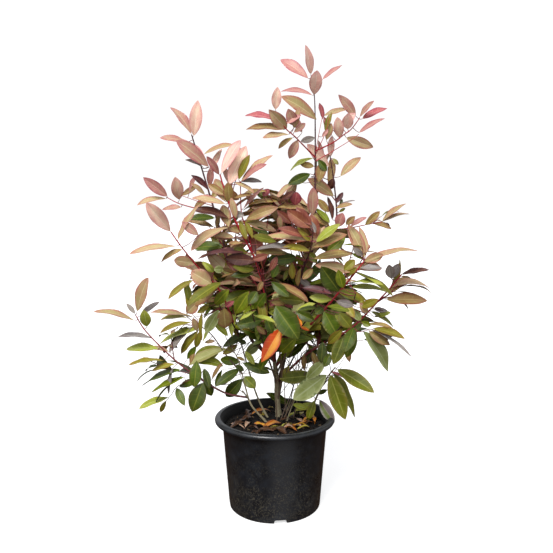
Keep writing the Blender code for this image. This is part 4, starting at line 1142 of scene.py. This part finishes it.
def smooth_path(points, spacing):
    """Evenly spaced points of a curve through the given ones (Catmull-Rom)."""
    before = points[0] * 2 - points[1]
    after = points[-1] * 2 - points[-2]
    knots = [before, *points, after]
    path = [points[0]]
    for a, b, c, d in zip(knots, knots[1:], knots[2:], knots[3:]):
        steps = max(1, round((c - b).length / spacing))
        for step in range(1, steps + 1):
            t = step / steps
            bend = b * 2 + (c - a) * t + (a * 2 - b * 5 + c * 4 - d) * t**2
            path.append((bend + (b * 3 - a - c * 3 + d) * t**3) / 2)
    return path


def at_height(path, height):
    """The point where a rising path first passes a height."""
    for low, high in zip(path, path[1:]):
        if low.z <= height <= high.z:
            return low.lerp(high, (height - low.z) / (high.z - low.z))
    return path[-1]


def limb_path(limb, paths):
    """A limb's centre line from inside its parent, or from inside the mix."""
    route = [place(*spot) for spot in limb.route]
    if limb.parent:
        route.insert(0, at_height(paths[limb.parent], limb.height * CM))
        return smooth_path(route, BARK_RING)
    path = smooth_path(route, BARK_RING)
    sink = (path[1] - path[0]).normalized() * FLARE_LENGTH
    return [path[0] - sink, path[0] - sink * 0.5, *path]


def reach_along(path):
    """The distance from a path's start to each of its points."""
    reach = [0.0]
    for low, high in zip(path, path[1:]):
        reach.append(reach[-1] + (high - low).length)
    return reach


def limb_radii(limb, path):
    """The radius at each point: an even taper, a spread foot, and a swelling at each bud."""
    radii = []
    reach = reach_along(path)
    for far in reach:
        radius = limb.foot + (limb.tip - limb.foot) * far / reach[-1]
        if limb.parent is None:
            radius += limb.foot * FLARE_SPREAD * math.exp(-far / FLARE_LENGTH)
        from_bud = (far + BUD_SPACING / 2) % BUD_SPACING - BUD_SPACING / 2
        radius *= 1 + BUD_SWELLING * math.exp(-((from_bud / BUD_LENGTH) ** 2))
        radii.append(radius * MM)
    return radii


def bark_swell(path, sides, depth, seed):
    """How far each point of a limb's skin stands out: long ridges and furrows."""
    rows = []
    for index in range(len(path)):
        row = []
        for one in range(sides):
            angle = one * 2 * math.pi / sides
            spot = Vector((2.4 * math.cos(angle), 2.4 * math.sin(angle), index * 0.09 + seed))
            fine = Vector((4.2 * math.cos(angle), 4.2 * math.sin(angle), index * 0.4 + seed))
            row.append(1 + depth * (noise.noise(spot) + 0.5 * noise.noise(fine)))
        rows.append(row)
    return rows


def grow_limbs(paths, wood):
    """Every limb and side shoot, with bark relief, in the heap of its wood. Fills the paths."""
    for number, limb in enumerate(LIMBS + SIDE_SHOOTS):
        path = limb_path(limb, paths)
        paths[limb.name] = path
        sides = 22 if limb.foot > 5 else 14 if limb.foot > 2 else 8
        depth = OLD_RIDGES if limb.wood == "old" else YOUNG_RIDGES
        swell = bark_swell(path, sides, depth, number * BARK_SHIFT)
        points, faces = tube(path, limb_radii(limb, path), sides, np.array(swell))
        wood[WOODS[limb.wood]].add(points, faces, 0)


def grow_thicket(grove):
    """Slender bare stems from the mix, and forks off the stems, that cross behind the leaves."""
    dice = random.Random(THICKET_SEED)
    for _ in range(THICKET_STEMS):
        foot = Vector((dice.uniform(0.5, 5) * CM, dice.uniform(0, 6) * CM, MIX_TOP - 2 * MM))
        lean, height = dice.uniform(-3, 10), dice.uniform(12, 22)
        end = foot + Vector((lean, dice.uniform(-5, 3), height)) * CM
        middle = foot.lerp(end, 0.5) + Vector((dice.uniform(-1.5, 1.5), 0, 0)) * CM
        add_bare_twig([foot, middle, end], THICKET_STEM_RADIUS, grove)
    for stem in THICKET_PARENTS * THICKET_FORKS:
        path = grove.paths[stem]
        joint = path[dice.randrange(len(path) // 3, len(path) - 1)]
        end = joint + Vector((dice.uniform(-7, 7), dice.uniform(-3, 4), dice.uniform(2, 9))) * CM
        if not open_to_sky([joint.lerp(end, share) for share in (0.4, 0.7, 1.0)]):
            middle = joint.lerp(end, 0.5) + UP * dice.uniform(-0.8, 0.8) * CM
            add_bare_twig([joint, middle, end], THICKET_FORK_RADIUS, grove)


def add_bare_twig(route, thick, grove):
    """One leafless twig with small swellings at its buds."""
    path = smooth_path(route, TWIG_RING)
    radii = np.linspace(thick, thick * THICKET_TAPER, len(path)) * MM
    radii *= 1 + 0.2 * (np.arange(len(path)) % 4 == 3)
    points, faces = tube(path, radii, THICKET_SIDES)
    grove.wood[WOODS["brown"]].add(points, faces, 0)


# Leaves.


def new_shape(dice, arch, curl=0.0):
    """How one leaf is folded, arched, waved and twisted."""
    return Shape(
        arch=arch,
        fold=math.radians(dice.uniform(12, 30)),
        curl=curl,
        wave=dice.uniform(0.03, 0.1),
        turns=dice.uniform(1.2, 2.4),
        phase=dice.uniform(0, 6.3),
        twist=math.radians(dice.uniform(-22, 22)),
        wide_at=dice.uniform(0.46, 0.56),
    )


class Grove:
    """What grows: limb paths, the masses' rooms, the heaps, and what shows in front."""

    def __init__(self):
        self.paths = {}
        self.wood = [Heap(), Heap(), Heap()]
        self.twigs = Heap()
        self.stalks = Heap()
        self.heaps, self.looks, self.finishes = leaf_pieces()
        self.rooms = [mass_room(mass) for masses in MASSES.values() for mass in masses]
        grow_limbs(self.paths, self.wood)
        self.shown = []
        for name in SHOWN_BOUGHS:
            path = self.paths[name]
            self.show(path[len(path) // 5 :: 3], BOUGH_MARGIN)

    def show(self, points, breadth):
        """Keeps points, with a breadth in cm round them, clear of what grows in front later."""
        for (x, z), point in zip(seen(points), points):
            self.shown.append((x, z, point.y, breadth + SHOWN_MARGIN))


def leaf_pieces():
    """For each kind of leaf the heap it joins and the numbers of its looks there."""
    heaps, looks, finishes = {}, {}, {}
    for piece, (slot, kinds) in LEAF_PIECES.items():
        heaps[piece] = Heap()
        finishes[piece] = []
        for kind in kinds:
            first = len(finishes[piece])
            for number, colours in enumerate(LEAF_COLOURS[kind]):
                underside = number == len(LEAF_COLOURS[kind]) - 1
                name = f"{kind}_underside" if underside else f"{kind}_leaf_{number + 1}"
                skin = leaf_skin(name, colours, first + number * 2.7, not underside, kind in HALVED)
                finishes[piece].append(skin)
            last = len(finishes[piece]) - 1
            looks[kind] = (piece, first, last)
    return heaps, looks, finishes


def add_leaf(kind, base, tip, facing, width, shape, dice, grove):
    """One leaf of a kind, in one of its looks."""
    piece, first, underside = grove.looks[kind]
    top = dice.randrange(first, underside)
    sides = [underside if side else top for side in LEAF_SIDES]
    points = leaf_points(base, tip, facing, width, shape)
    grove.heaps[piece].add(points, LEAF_FACES, sides, LEAF_PLACES)


def add_stalk(start, end, stalks):
    """A leaf stalk from a shoot to the base of a blade, a little bowed."""
    middle = start.lerp(end, 0.5) - UP * (end - start).length * STALK_BOW
    path = smooth_path([start, middle, end], max((end - start).length / 4, 1 * MM))
    radii = np.linspace(STALK_RADIUS, STALK_RADIUS * STALK_TAPER, len(path)) * MM
    points, faces = tube(path, radii, STALK_SIDES)
    stalks.add(points, faces, 0)


def leaf_facing(base, tip, share):
    """The way a leaf's upper skin faces, for the share of its breadth that the eye sees."""
    along = (tip - base).normalized()
    to_eye = (EYE - base.lerp(tip, 0.5)).normalized()
    flat = (to_eye - along * to_eye.dot(along)).normalized()
    side = along.cross(flat)
    turn = math.acos(min(1.0, share))
    front = flat * math.cos(turn)
    return max(front + side * math.sin(turn), front - side * math.sin(turn), key=lambda way: way.z)


def set_leading_leaves(grove):
    """The leaves that give the crown its outline, each on the nearest point of its shoot."""
    dice = random.Random(LEADING_SEED)
    for shoot, leaves in LEADING_LEAVES.items():
        path = grove.paths[shoot]
        shown = seen(path)
        for leaf in (Leaf(*row) for row in leaves):
            gaps = np.hypot(shown[:, 0] - leaf.x, shown[:, 1] - leaf.z)
            joint = path[int(gaps.argmin())]
            depth = joint.y / CM
            base = place(leaf.x, leaf.z, depth + dice.uniform(-0.4, 0.4))
            seen_length = math.hypot(leaf.tip_x - leaf.x, leaf.tip_z - leaf.z)
            lean = dice.uniform(*LEADING_LEAN) if leaf.lean is None else leaf.lean
            tip = place(leaf.tip_x, leaf.tip_z, base.y / CM + lean * seen_length)
            length = (tip - base).length
            seen_width = leaf.width * FOLD_LOSS * CM
            width = max(LEAF_BROADNESS * length, seen_width)
            facing = leaf_facing(base, tip, seen_width / width)
            shape = new_shape(dice, leaf.arch * dice.uniform(*LEADING_ARCH), dice.uniform(0, 0.03))
            add_leaf(leaf.kind, base, tip, facing, width, shape, dice, grove)
            add_stalk(joint, base, grove.stalks)
            middle_line = [base.lerp(tip, share) for share in (0.1, 0.3, 0.5, 0.7, 0.9)]
            grove.show(middle_line, leaf.width / 2)


def grown_leaf(kind, joint, direction, length, droop, grove, dice):
    """One leaf grown from a joint: its stalk, then a blade that sags and faces the light."""
    way = (direction - UP * droop).normalized()
    base = joint + (direction * 0.7 + way * 0.3) * dice.uniform(*STALK_LENGTH) * CM
    tip = base + way * length
    outward = Vector((joint.x, joint.y, 0))
    light = UP * LIGHT_ABOVE + outward.normalized() * LIGHT_ASIDE
    light += Vector([dice.gauss(0, FACING_SPREAD) for _ in range(3)])
    facing = (light - way * light.dot(way)).normalized()
    shape = new_shape(dice, dice.uniform(0.03, 0.12), dice.uniform(0.0, 0.09))
    width = length * dice.uniform(*GROWN_BREADTH)
    add_leaf(kind, base, tip, facing, width, shape, dice, grove)
    add_stalk(joint, base, grove.stalks)


def mass_room(mass):
    """The centre and half sizes of the room that a mass fills."""
    low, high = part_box(mass + "_foliage")
    return (low + high) / 2, (high - low) / 2


def in_crown(point, rooms, share):
    """Whether a point lies within a share of any mass, or between that mass and the trunk."""
    for centre, half in rooms:
        away = point - centre
        if min(0, centre.y) < point.y < max(0, centre.y):
            away.y = 0
        if sum((a / (h * share)) ** 2 for a, h in zip(away, half)) < 1:
            return True
    return False


def open_to_sky(points):
    """Whether any of these points would close a gap that the crown leaves open."""
    for x, z in seen(points):
        if any(math.hypot(x - gap_x, z - gap_z) < radius for gap_x, gap_z, radius in GAPS):
            return True
    return False


def hides(points, shown):
    """Whether any of these points lies in front of a bough or a leaf that shows."""
    for (x, z), point in zip(seen(points), points):
        near = np.hypot(shown[:, 0] - x, shown[:, 1] - z) < shown[:, 3]
        if np.any(near & (shown[:, 2] > point.y)):
            return True
    return False


def nearest_joint(paths, target, setback):
    """Where a twig to the target leaves the nearest limb, set back by a share of that limb."""
    best, least = None, math.inf
    for limb in LIMBS:
        path = paths[limb.name]
        for index in range(len(path) // 3, len(path), 3):
            away = target - path[index]
            cost = away.length + max(0.0, -away.z) * DOWNWARD_COST
            if cost < least and away.length > LEAST_TWIG:
                best, least = (path, index), cost
    path, index = best
    return path[max(len(path) // 3, index - int(setback * len(path)))]


def grow_spray(mass, twig_count, shares, grove, dice):
    """The twigs and leaves of one mass, grown on from the nearest limbs. Bare ones are left out."""
    centre, half = mass_room(mass)
    high_up = min(1.0, max(0.0, (centre.z - LOW_CROWN) / (HIGH_CROWN - LOW_CROWN)))
    nearer, deeper = DEPTHS.get(mass, (0, 0))
    for _ in range(twig_count):
        way = Vector([dice.gauss(0, 1) for _ in range(3)]).normalized()
        way.z = abs(way.z) * 0.8 if dice.random() < UPTURNED else way.z
        reach = dice.uniform(*TWIG_REACH)
        target = centre + Vector([w * h * reach for w, h in zip(way, half)])
        target.y += dice.uniform(nearer, deeper) * CM
        start = nearest_joint(grove.paths, target, dice.uniform(0, TWIG_SETBACK))
        rise = UP * (target - start).length * dice.uniform(*TWIG_BOW)
        path = smooth_path([start, start.lerp(target, 0.5) + rise, target], TWIG_RING)
        if open_to_sky(path[1:]):
            continue
        leaves = spray_leaves(path, high_up, (list(shares), list(shares.values())), grove, dice)
        if len(leaves) >= LEAST_LEAVES:
            points, faces = tube(path, np.linspace(*TWIG_RADII, len(path)) * MM, TWIG_SIDES)
            grove.twigs.add(points, faces, 0)
            for leaf in leaves:
                grown_leaf(*leaf, grove, dice)


def spray_leaves(path, high_up, mix, grove, dice):
    """The leaves up the outer part of one twig, a golden angle apart, that have room."""
    kind = dice.choices(*mix)[0]
    turn = dice.uniform(0, 6.3)
    leaves = []
    fewest, most = SPRAY_COUNTS
    count = max(fewest, min(most, round(reach_along(path)[-1] / LEAF_SPACING)))
    for number in range(count):
        far = 1 - LEAFY_PART * (1 - number / (count - 1)) ** 1.1
        index = min(len(path) - 2, int(far * (len(path) - 1)))
        joint = path[index + 1] if number == count - 1 else path[index]
        ahead = (path[index + 1] - path[index]).normalized()
        side = ahead.cross(UP).normalized()
        other = side.cross(ahead)
        turn += GOLDEN_ANGLE + dice.gauss(0, TURN_SPREAD)
        length = dice.uniform(*GROWN_LENGTH) * (1 - 0.25 * far * dice.random())
        droop = dice.uniform(0.0, 0.5) * (1 - 0.7 * high_up)
        look = kind if dice.random() < SAME_KIND else dice.choices(*mix)[0]
        for _ in range(LEAF_TRIES):
            radial = side * math.cos(turn) + other * math.sin(turn)
            spread = math.radians(dice.uniform(40, 70) - 28 * far * far)
            direction = ahead * math.cos(spread) + radial * math.sin(spread)
            direction.z *= 0.5 + 0.4 * high_up
            direction.normalize()
            tip = joint + direction * length
            spots = [joint.lerp(tip, share) for share in (0.3, 0.5, 0.75, 1.0)]
            fits = in_crown(tip, grove.rooms, ROOM_SHARE)
            if fits and not open_to_sky(spots) and not hides(spots, grove.shown):
                leaves.append((look, joint, direction, length, droop))
                break
            turn += GOLDEN_ANGLE
            length *= 0.94
    return leaves


# Pot and mix.


def wall_radius(height):
    """The pot's outer radius at a height."""
    return FOOT_RADIUS + (TOP_RADIUS - FOOT_RADIUS) * height / POT_HEIGHT


def arc(centre, radius, first, last, steps):
    """Points of an arc in the profile's plane, between two angles in degrees from outwards."""
    for step in range(steps + 1):
        angle = math.radians(first + (last - first) * step / steps)
        yield (centre[0] + radius * math.cos(angle), centre[1] + radius * math.sin(angle))


def turned(profile, steps, closed):
    """Points and faces of a profile (radius, height) turned full circle."""
    profile = np.array(profile, float)
    rows = len(profile)
    angles = np.arange(steps) * 2 * math.pi / steps
    ring = np.stack([np.sin(angles), -np.cos(angles)], 1)
    flat = profile[None, :, 0, None] * ring[:, None]
    points = np.concatenate([flat, np.broadcast_to(profile[None, :, 1:], (steps, rows, 1))], 2)
    faces = []
    for step in range(steps):
        here, there = step * rows, (step + 1) % steps * rows
        for row in range(rows if closed else rows - 1):
            up = (row + 1) % rows
            faces.append([here + row, there + row, there + up, here + up])
    return points.reshape(-1, 3), faces


def wall_points(inset, low, high, count):
    """Profile points up the tapered wall, an inset inside its outer face."""
    for height in np.linspace(low, high, count):
        yield (wall_radius(height) - inset, height)


def build_pot(finishes):
    """The pot: a thin tapered shell whose rolled lip hangs clear of the wall, on a rounded foot."""
    brim = LIP_RADIUS - LIP_WIDTH
    top = POT_HEIGHT
    wall = wall_radius(POT_HEIGHT)
    skirt = POT_HEIGHT - LIP_DEPTH
    roll = (LIP_RADIUS - 7.5 * MM, top - 7.5 * MM)
    profile = [
        # The inner floor and the inner face, which flares under the lip.
        (0.0, POT_FLOOR),
        (wall_radius(0) - 12 * MM, POT_FLOOR),
        *wall_points(POT_WALL, POT_FLOOR + 4 * MM, top - 13 * MM, INNER_ROWS - 4),
        (wall - POT_WALL + 0.6 * MM, top - 9 * MM),
        (wall - POT_WALL + 2.2 * MM, top - 5 * MM),
        # The lip: its inner corner, its outer roll, its lower edge and its hollow underside.
        *arc((brim + 1.4 * MM, top - 1.4 * MM), 1.4 * MM, 160, 90, 4),
        *arc(roll, 7.5 * MM, 90, 0, 10),
        (LIP_RADIUS - 0.4 * MM, skirt + 2 * MM),
        *arc((LIP_RADIUS - 1.8 * MM, skirt + 1.2 * MM), 1.2 * MM, 0, -180, 6),
        *arc(roll, 5.3 * MM, 0, 90, 8),
        (brim + 3.5 * MM, top - 2.6 * MM),
        (wall + 2.4 * MM, top - 5.5 * MM),
        (wall + 0.6 * MM, top - 10 * MM),
        # The outer face down to the rounded foot, and the underside.
        *reversed(list(wall_points(0, 5 * MM, top - 15 * MM, OUTER_ROWS))),
        *arc((wall_radius(0) - 2.5 * MM, 2.5 * MM), 2.5 * MM, 10, -90, 5),
        (0.0, 0.0),
    ]
    points, faces = turned(profile, TURN_STEPS, False)
    # The inner rows take the second finish, whose darker black is painted shade.
    inside = [int(row < INNER_ROWS) for row in range(len(profile) - 1)]
    heap = Heap()
    heap.add(points, faces, inside * TURN_STEPS)
    pot = heap.piece("nursery_pot", finishes, "pot_plastic")
    cut_notches(pot)
    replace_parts(pot, "pot")


def weld(mesh):
    """Joins points that meet, drops edges without length and turns every face outwards."""
    shape = bmesh.new()
    shape.from_mesh(mesh)
    bmesh.ops.remove_doubles(shape, verts=shape.verts, dist=WELD)
    bmesh.ops.dissolve_degenerate(shape, edges=shape.edges, dist=WELD)
    bmesh.ops.recalc_face_normals(shape, faces=shape.faces)
    shape.to_mesh(mesh)
    shape.free()


def cut_notches(pot):
    """Drainage notches at the foot, cut through the wall with rounded wedges."""
    weld(pot.data)
    cutters = []
    for number in range(NOTCH_COUNT):
        mesh = bpy.data.meshes.new("notch")
        shape = bmesh.new()
        bmesh.ops.create_cube(shape, size=1)
        for vert in shape.verts:
            vert.co.y *= NOTCH_FOOT if vert.co.z < 0 else NOTCH_HEAD
        bmesh.ops.bevel(shape, geom=shape.edges, offset=NOTCH_ROUNDING, segments=2, affect="EDGES")
        shape.to_mesh(mesh)
        shape.free()
        notch = bpy.data.objects.new("notch", mesh)
        bpy.context.scene.collection.objects.link(notch)
        angle = NOTCH_TURN - math.pi / 2 + number * 2 * math.pi / NOTCH_COUNT
        notch.location = Vector((math.cos(angle), math.sin(angle), 0)) * FOOT_RADIUS
        notch.rotation_euler.z = angle
        notch.scale = (2 * NOTCH_REACH, NOTCH_WIDTH, 2 * NOTCH_HEIGHT)
        boolean = pot.modifiers.new("notch", "BOOLEAN")
        boolean.operation = "DIFFERENCE"
        boolean.object = notch
        cutters.append(notch)
    graph = bpy.context.evaluated_depsgraph_get()
    cut = bpy.data.meshes.new_from_object(pot.evaluated_get(graph))
    pot.modifiers.clear()
    pot.data = cut
    for notch in cutters:
        bpy.data.objects.remove(notch)
    pot.data.shade_smooth()
    pot.data.set_sharp_from_angle(angle=POT_CREASE)


def mix_height(x, y):
    """The height of the mix's crumbled top: level round the stems, falling to the wall."""
    radius = math.hypot(x, y)
    edge = wall_radius(MIX_EDGE_HEIGHT) - POT_WALL
    fall = max(0.0, (radius - MIX_LEVEL_RADIUS) / (edge - MIX_LEVEL_RADIUS))
    spot = Vector((x, y, 0)) / CLOD
    crumbs = noise.noise(spot) * CLOD_RISE + noise.noise(spot * 3.3) * CRUMB_RISE
    return MIX_TOP - fall**1.4 * (MIX_TOP - MIX_EDGE_HEIGHT) + crumbs - 0.6 * MM


def build_mix(finish, bits):
    """The plug of mix, clear of the notches, its crumbled top, and the bark chips on it."""
    bottom = POT_FLOOR + MIX_CLEARANCE
    inset = POT_WALL + MIX_CLEARANCE
    edge = wall_radius(MIX_EDGE_HEIGHT) - inset
    step = POT_FLOOR + NOTCH_HEIGHT
    foot = FOOT_RADIUS - NOTCH_REACH - inset
    profile = [(edge * share, MIX_TOP) for share in np.linspace(0.0, 1.0, MIX_ROWS)]
    profile += [(wall_radius(step) - inset, step), (foot, step), (foot, bottom), (0.0, bottom)]
    points, faces = turned(profile, TURN_STEPS, False)
    for point in points:
        if point[2] > MIX_EDGE_HEIGHT:
            point[2] = mix_height(point[0], point[1])
    heap = Heap()
    heap.add(points, [face[::-1] for face in faces], 0)
    top = heap.piece("mix_surface", [finish], "potting_mix")
    weld(top.data)
    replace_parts(top, "potting_mix")
    scatter_chips(bits)


def scatter_chips(finishes):
    """Splinters and crumbs of bark on the mix, up to 16 mm long."""
    dice = random.Random(CHIP_SEED)
    heap = Heap()
    corners = np.array([(x, y, z) for x in (-1, 1) for y in (-1, 1) for z in (-1, 1)], float)
    faces = [[0, 1, 3, 2], [4, 6, 7, 5], [0, 4, 5, 1], [2, 3, 7, 6], [0, 2, 6, 4], [1, 5, 7, 3]]
    for _ in range(CHIP_COUNT):
        radius = CHIP_REACH * math.sqrt(dice.random())
        angle = dice.uniform(0, 2 * math.pi)
        x, y = radius * math.cos(angle), radius * math.sin(angle)
        if radius > wall_radius(MIX_EDGE_HEIGHT) - CHIP_MARGIN:
            continue
        length = dice.uniform(1.5, 8) * MM
        size = np.array([length, length * dice.uniform(0.2, 0.6), dice.uniform(0.5, 1.6) * MM])
        rough = np.array([[dice.uniform(0.55, 1.0) for _ in range(3)] for _ in range(8)])
        yaw, tilt = dice.uniform(0, 6.3), dice.gauss(0, 0.35)
        turn = np.array(
            [[math.cos(yaw), -math.sin(yaw), 0], [math.sin(yaw), math.cos(yaw), 0], [0, 0, 1]]
        )
        lean = np.array(
            [[math.cos(tilt), 0, math.sin(tilt)], [0, 1, 0], [-math.sin(tilt), 0, math.cos(tilt)]]
        )
        points = (corners * rough * size) @ lean.T @ turn.T
        points += (x, y, mix_height(x, y) + 0.8 * MM)
        heap.add(points, faces, dice.choices([0, 1, 2], CHIP_SHARES)[0])
    heap.piece("bark_chips", finishes, "potting_mix")


def scatter_fallen_leaves(grove):
    """Fallen leaves on the mix, dry and curled, most of them in front and to the right."""
    dice = random.Random(FALLEN_SEED)
    for x, y, tip_x, tip_y, width, kind in FALLEN_LEAVES:
        lay_leaf(Vector((x, y, 0)) * CM, Vector((tip_x, tip_y, 0)) * CM, width * CM, kind, grove, dice)
    for _ in range(FALLEN_COUNT):
        radius = FALLEN_REACH * math.sqrt(dice.random())
        angle = dice.uniform(0, 2 * math.pi)
        turn = dice.uniform(0, 2 * math.pi)
        length = dice.uniform(2.4, 4.6) * CM
        start = Vector((radius * math.cos(angle), radius * math.sin(angle), 0))
        end = start + Vector((math.cos(turn), math.sin(turn), 0)) * length
        kind = dice.choices(list(FALLEN_SHARES), list(FALLEN_SHARES.values()))[0]
        lay_leaf(start, end, length * dice.uniform(0.32, 0.44), kind, grove, dice)


def lay_leaf(start, end, width, kind, grove, dice):
    """One dry leaf that lies on the mix."""
    room = wall_radius(MIX_TOP) - FALLEN_MARGIN
    ends = []
    for spot in (start, end):
        if spot.length > room:
            spot = spot * room / spot.length
        ends.append(Vector((spot.x, spot.y, mix_height(spot.x, spot.y) + dice.uniform(2, 6) * MM)))
    facing = (UP + Vector((dice.gauss(0, 0.3), dice.gauss(0, 0.3), 0))).normalized()
    shape = new_shape(dice, dice.uniform(0.02, 0.16), dice.uniform(0, 0.06))
    shape = shape._replace(fold=math.radians(dice.uniform(15, 60)), wave=dice.uniform(0.1, 0.3))
    add_leaf(kind, *ends, facing, width * dice.uniform(1.0, 1.15), shape, dice, grove)


# Stage.


def build_surround():
    """White to the eye. To everything else a pale sky, dark warm ground and a pale front card."""
    world = bpy.data.worlds.new("surround")
    world.use_nodes = True
    tree = world.node_tree
    way = node(tree, "TexCoord")["Generated"]
    height = node(tree, "SeparateXYZ", [way])[2]
    aloft = node(tree, "MapRange", [height, -0.2, 0.3], **SMOOTH)[0]
    tints = {0: aloft, 6: linear(GROUND_TINT), 7: linear(SKY_TINT)}
    colour = node(tree, "Mix", tints, **COLOURED)[2]
    aim = Vector(CARD_AIM).normalized()
    towards = node(tree, "VectorMath", [way, aim], operation="DOT_PRODUCT")["Value"]
    card = node(tree, "MapRange", [towards, 0.8, 0.97], **SMOOTH)[0]
    colour = node(tree, "Mix", {0: card, 6: colour, 7: linear(CARD_TINT)}, **COLOURED)[2]
    eye = node(tree, "LightPath")["Is Camera Ray"]
    colour = node(tree, "Mix", {0: eye, 6: colour, 7: BACKDROP}, **COLOURED)[2]
    tree.links.new(colour, tree.nodes["Background"].inputs["Color"])
    return world


def build_stage():
    """A pale floor out to the horizon, a white surround and soft light from the upper front left."""
    scene = bpy.context.scene
    mesh = bpy.data.meshes.new("floor")
    corners = [(x * FLOOR_REACH, y * FLOOR_REACH, 0) for x, y in ((-1, -1), (1, -1), (1, 1), (-1, 1))]
    mesh.from_pydata(corners, [], [(0, 1, 2, 3)])
    mesh.materials.append(plaster_floor())
    floor = bpy.data.objects.new("floor", mesh)
    scene.collection.objects.link(floor)
    floor.visible_diffuse = False
    floor.visible_glossy = False
    scene.world = build_surround()
    sun = bpy.data.lights.new("key", "SUN")
    sun.energy = KEY_STRENGTH
    sun.angle = KEY_SPREAD
    key = bpy.data.objects.new("key", sun)
    key.rotation_euler = KEY_TURN
    scene.collection.objects.link(key)
    soft = bpy.data.lights.new("front_softbox", "AREA")
    soft.energy = SOFTBOX_WATTS
    soft.size = SOFTBOX_SIZE
    front = bpy.data.objects.new("front_softbox", soft)
    front.location = SOFTBOX_PLACE
    front.rotation_euler = SOFTBOX_TURN
    scene.collection.objects.link(front)
    camera = bpy.data.cameras.new("camera")
    camera.lens = CAMERA_LENS
    camera.sensor_width = SENSOR_WIDTH
    viewer = bpy.data.objects.new("camera", camera)
    viewer.location = EYE
    viewer.rotation_euler = (math.pi / 2 - CAMERA_DIP, 0, 0)
    scene.collection.objects.link(viewer)
    scene.camera = viewer
    scene.view_settings.view_transform = "Standard"


def build_plant():
    """Limbs, twigs and leaves, each kind joined into one piece."""
    grove = Grove()
    grow_thicket(grove)
    set_leading_leaves(grove)
    grove.shown = np.array(grove.shown)
    for slot, masses in MASSES.items():
        for mass, twig_count in masses.items():
            grow_spray(mass, twig_count, TINTS[slot], grove, random.Random(mass))
    scatter_fallen_leaves(grove)
    old = bark_finish("grey_brown_bark", "#857C62", "#6E5C4A", "#40362B", 0.8)
    brown = bark_finish("maturing_bark", "#6A5848", "#4A2428", "#2E1A1C", 0.6)
    red = bark_finish("young_red_bark", "#5A3030", "#AC222E", "#5C1A20", 0.45)
    shoots = bark_finish("soft_red_shoot", "#62302C", "#7C2C32", "#4A1C20", 0.42)
    names = [[limb.name for limb in LIMBS if limb.wood == kind] for kind in WOODS]
    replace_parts(grove.wood[0].piece("grey_stems", [old], "bark"), *names[0])
    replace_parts(grove.wood[1].piece("brown_boughs", [brown], "bark"), *names[1])
    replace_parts(grove.wood[2].piece("red_boughs", [red], "red_bark"), *names[2])
    grove.twigs.piece("twigs", [shoots], "red_bark")
    grove.stalks.piece("leaf_stalks", [shoots], "red_bark")
    for piece, (slot, _) in LEAF_PIECES.items():
        made = grove.heaps[piece].piece(piece, grove.finishes[piece], slot)
        if slot.split("_")[1] == piece.split("_")[0]:
            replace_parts(made, *[mass + "_foliage" for mass in MASSES[slot]])


build_plant()
build_pot([pot_plastic(), matt_painted_shade_plastic()])
build_mix(
    mix_finish("damp_peat", "#0A0807", "#17100C"),
    [
        mix_finish("dark_bark_chip", "#0D0A08", "#1D1510"),
        mix_finish("brown_bark_chip", "#1B130D", "#38271B"),
        mix_finish("pale_bark_chip", "#5A4A36", "#86704E"),
    ],
)
build_stage()
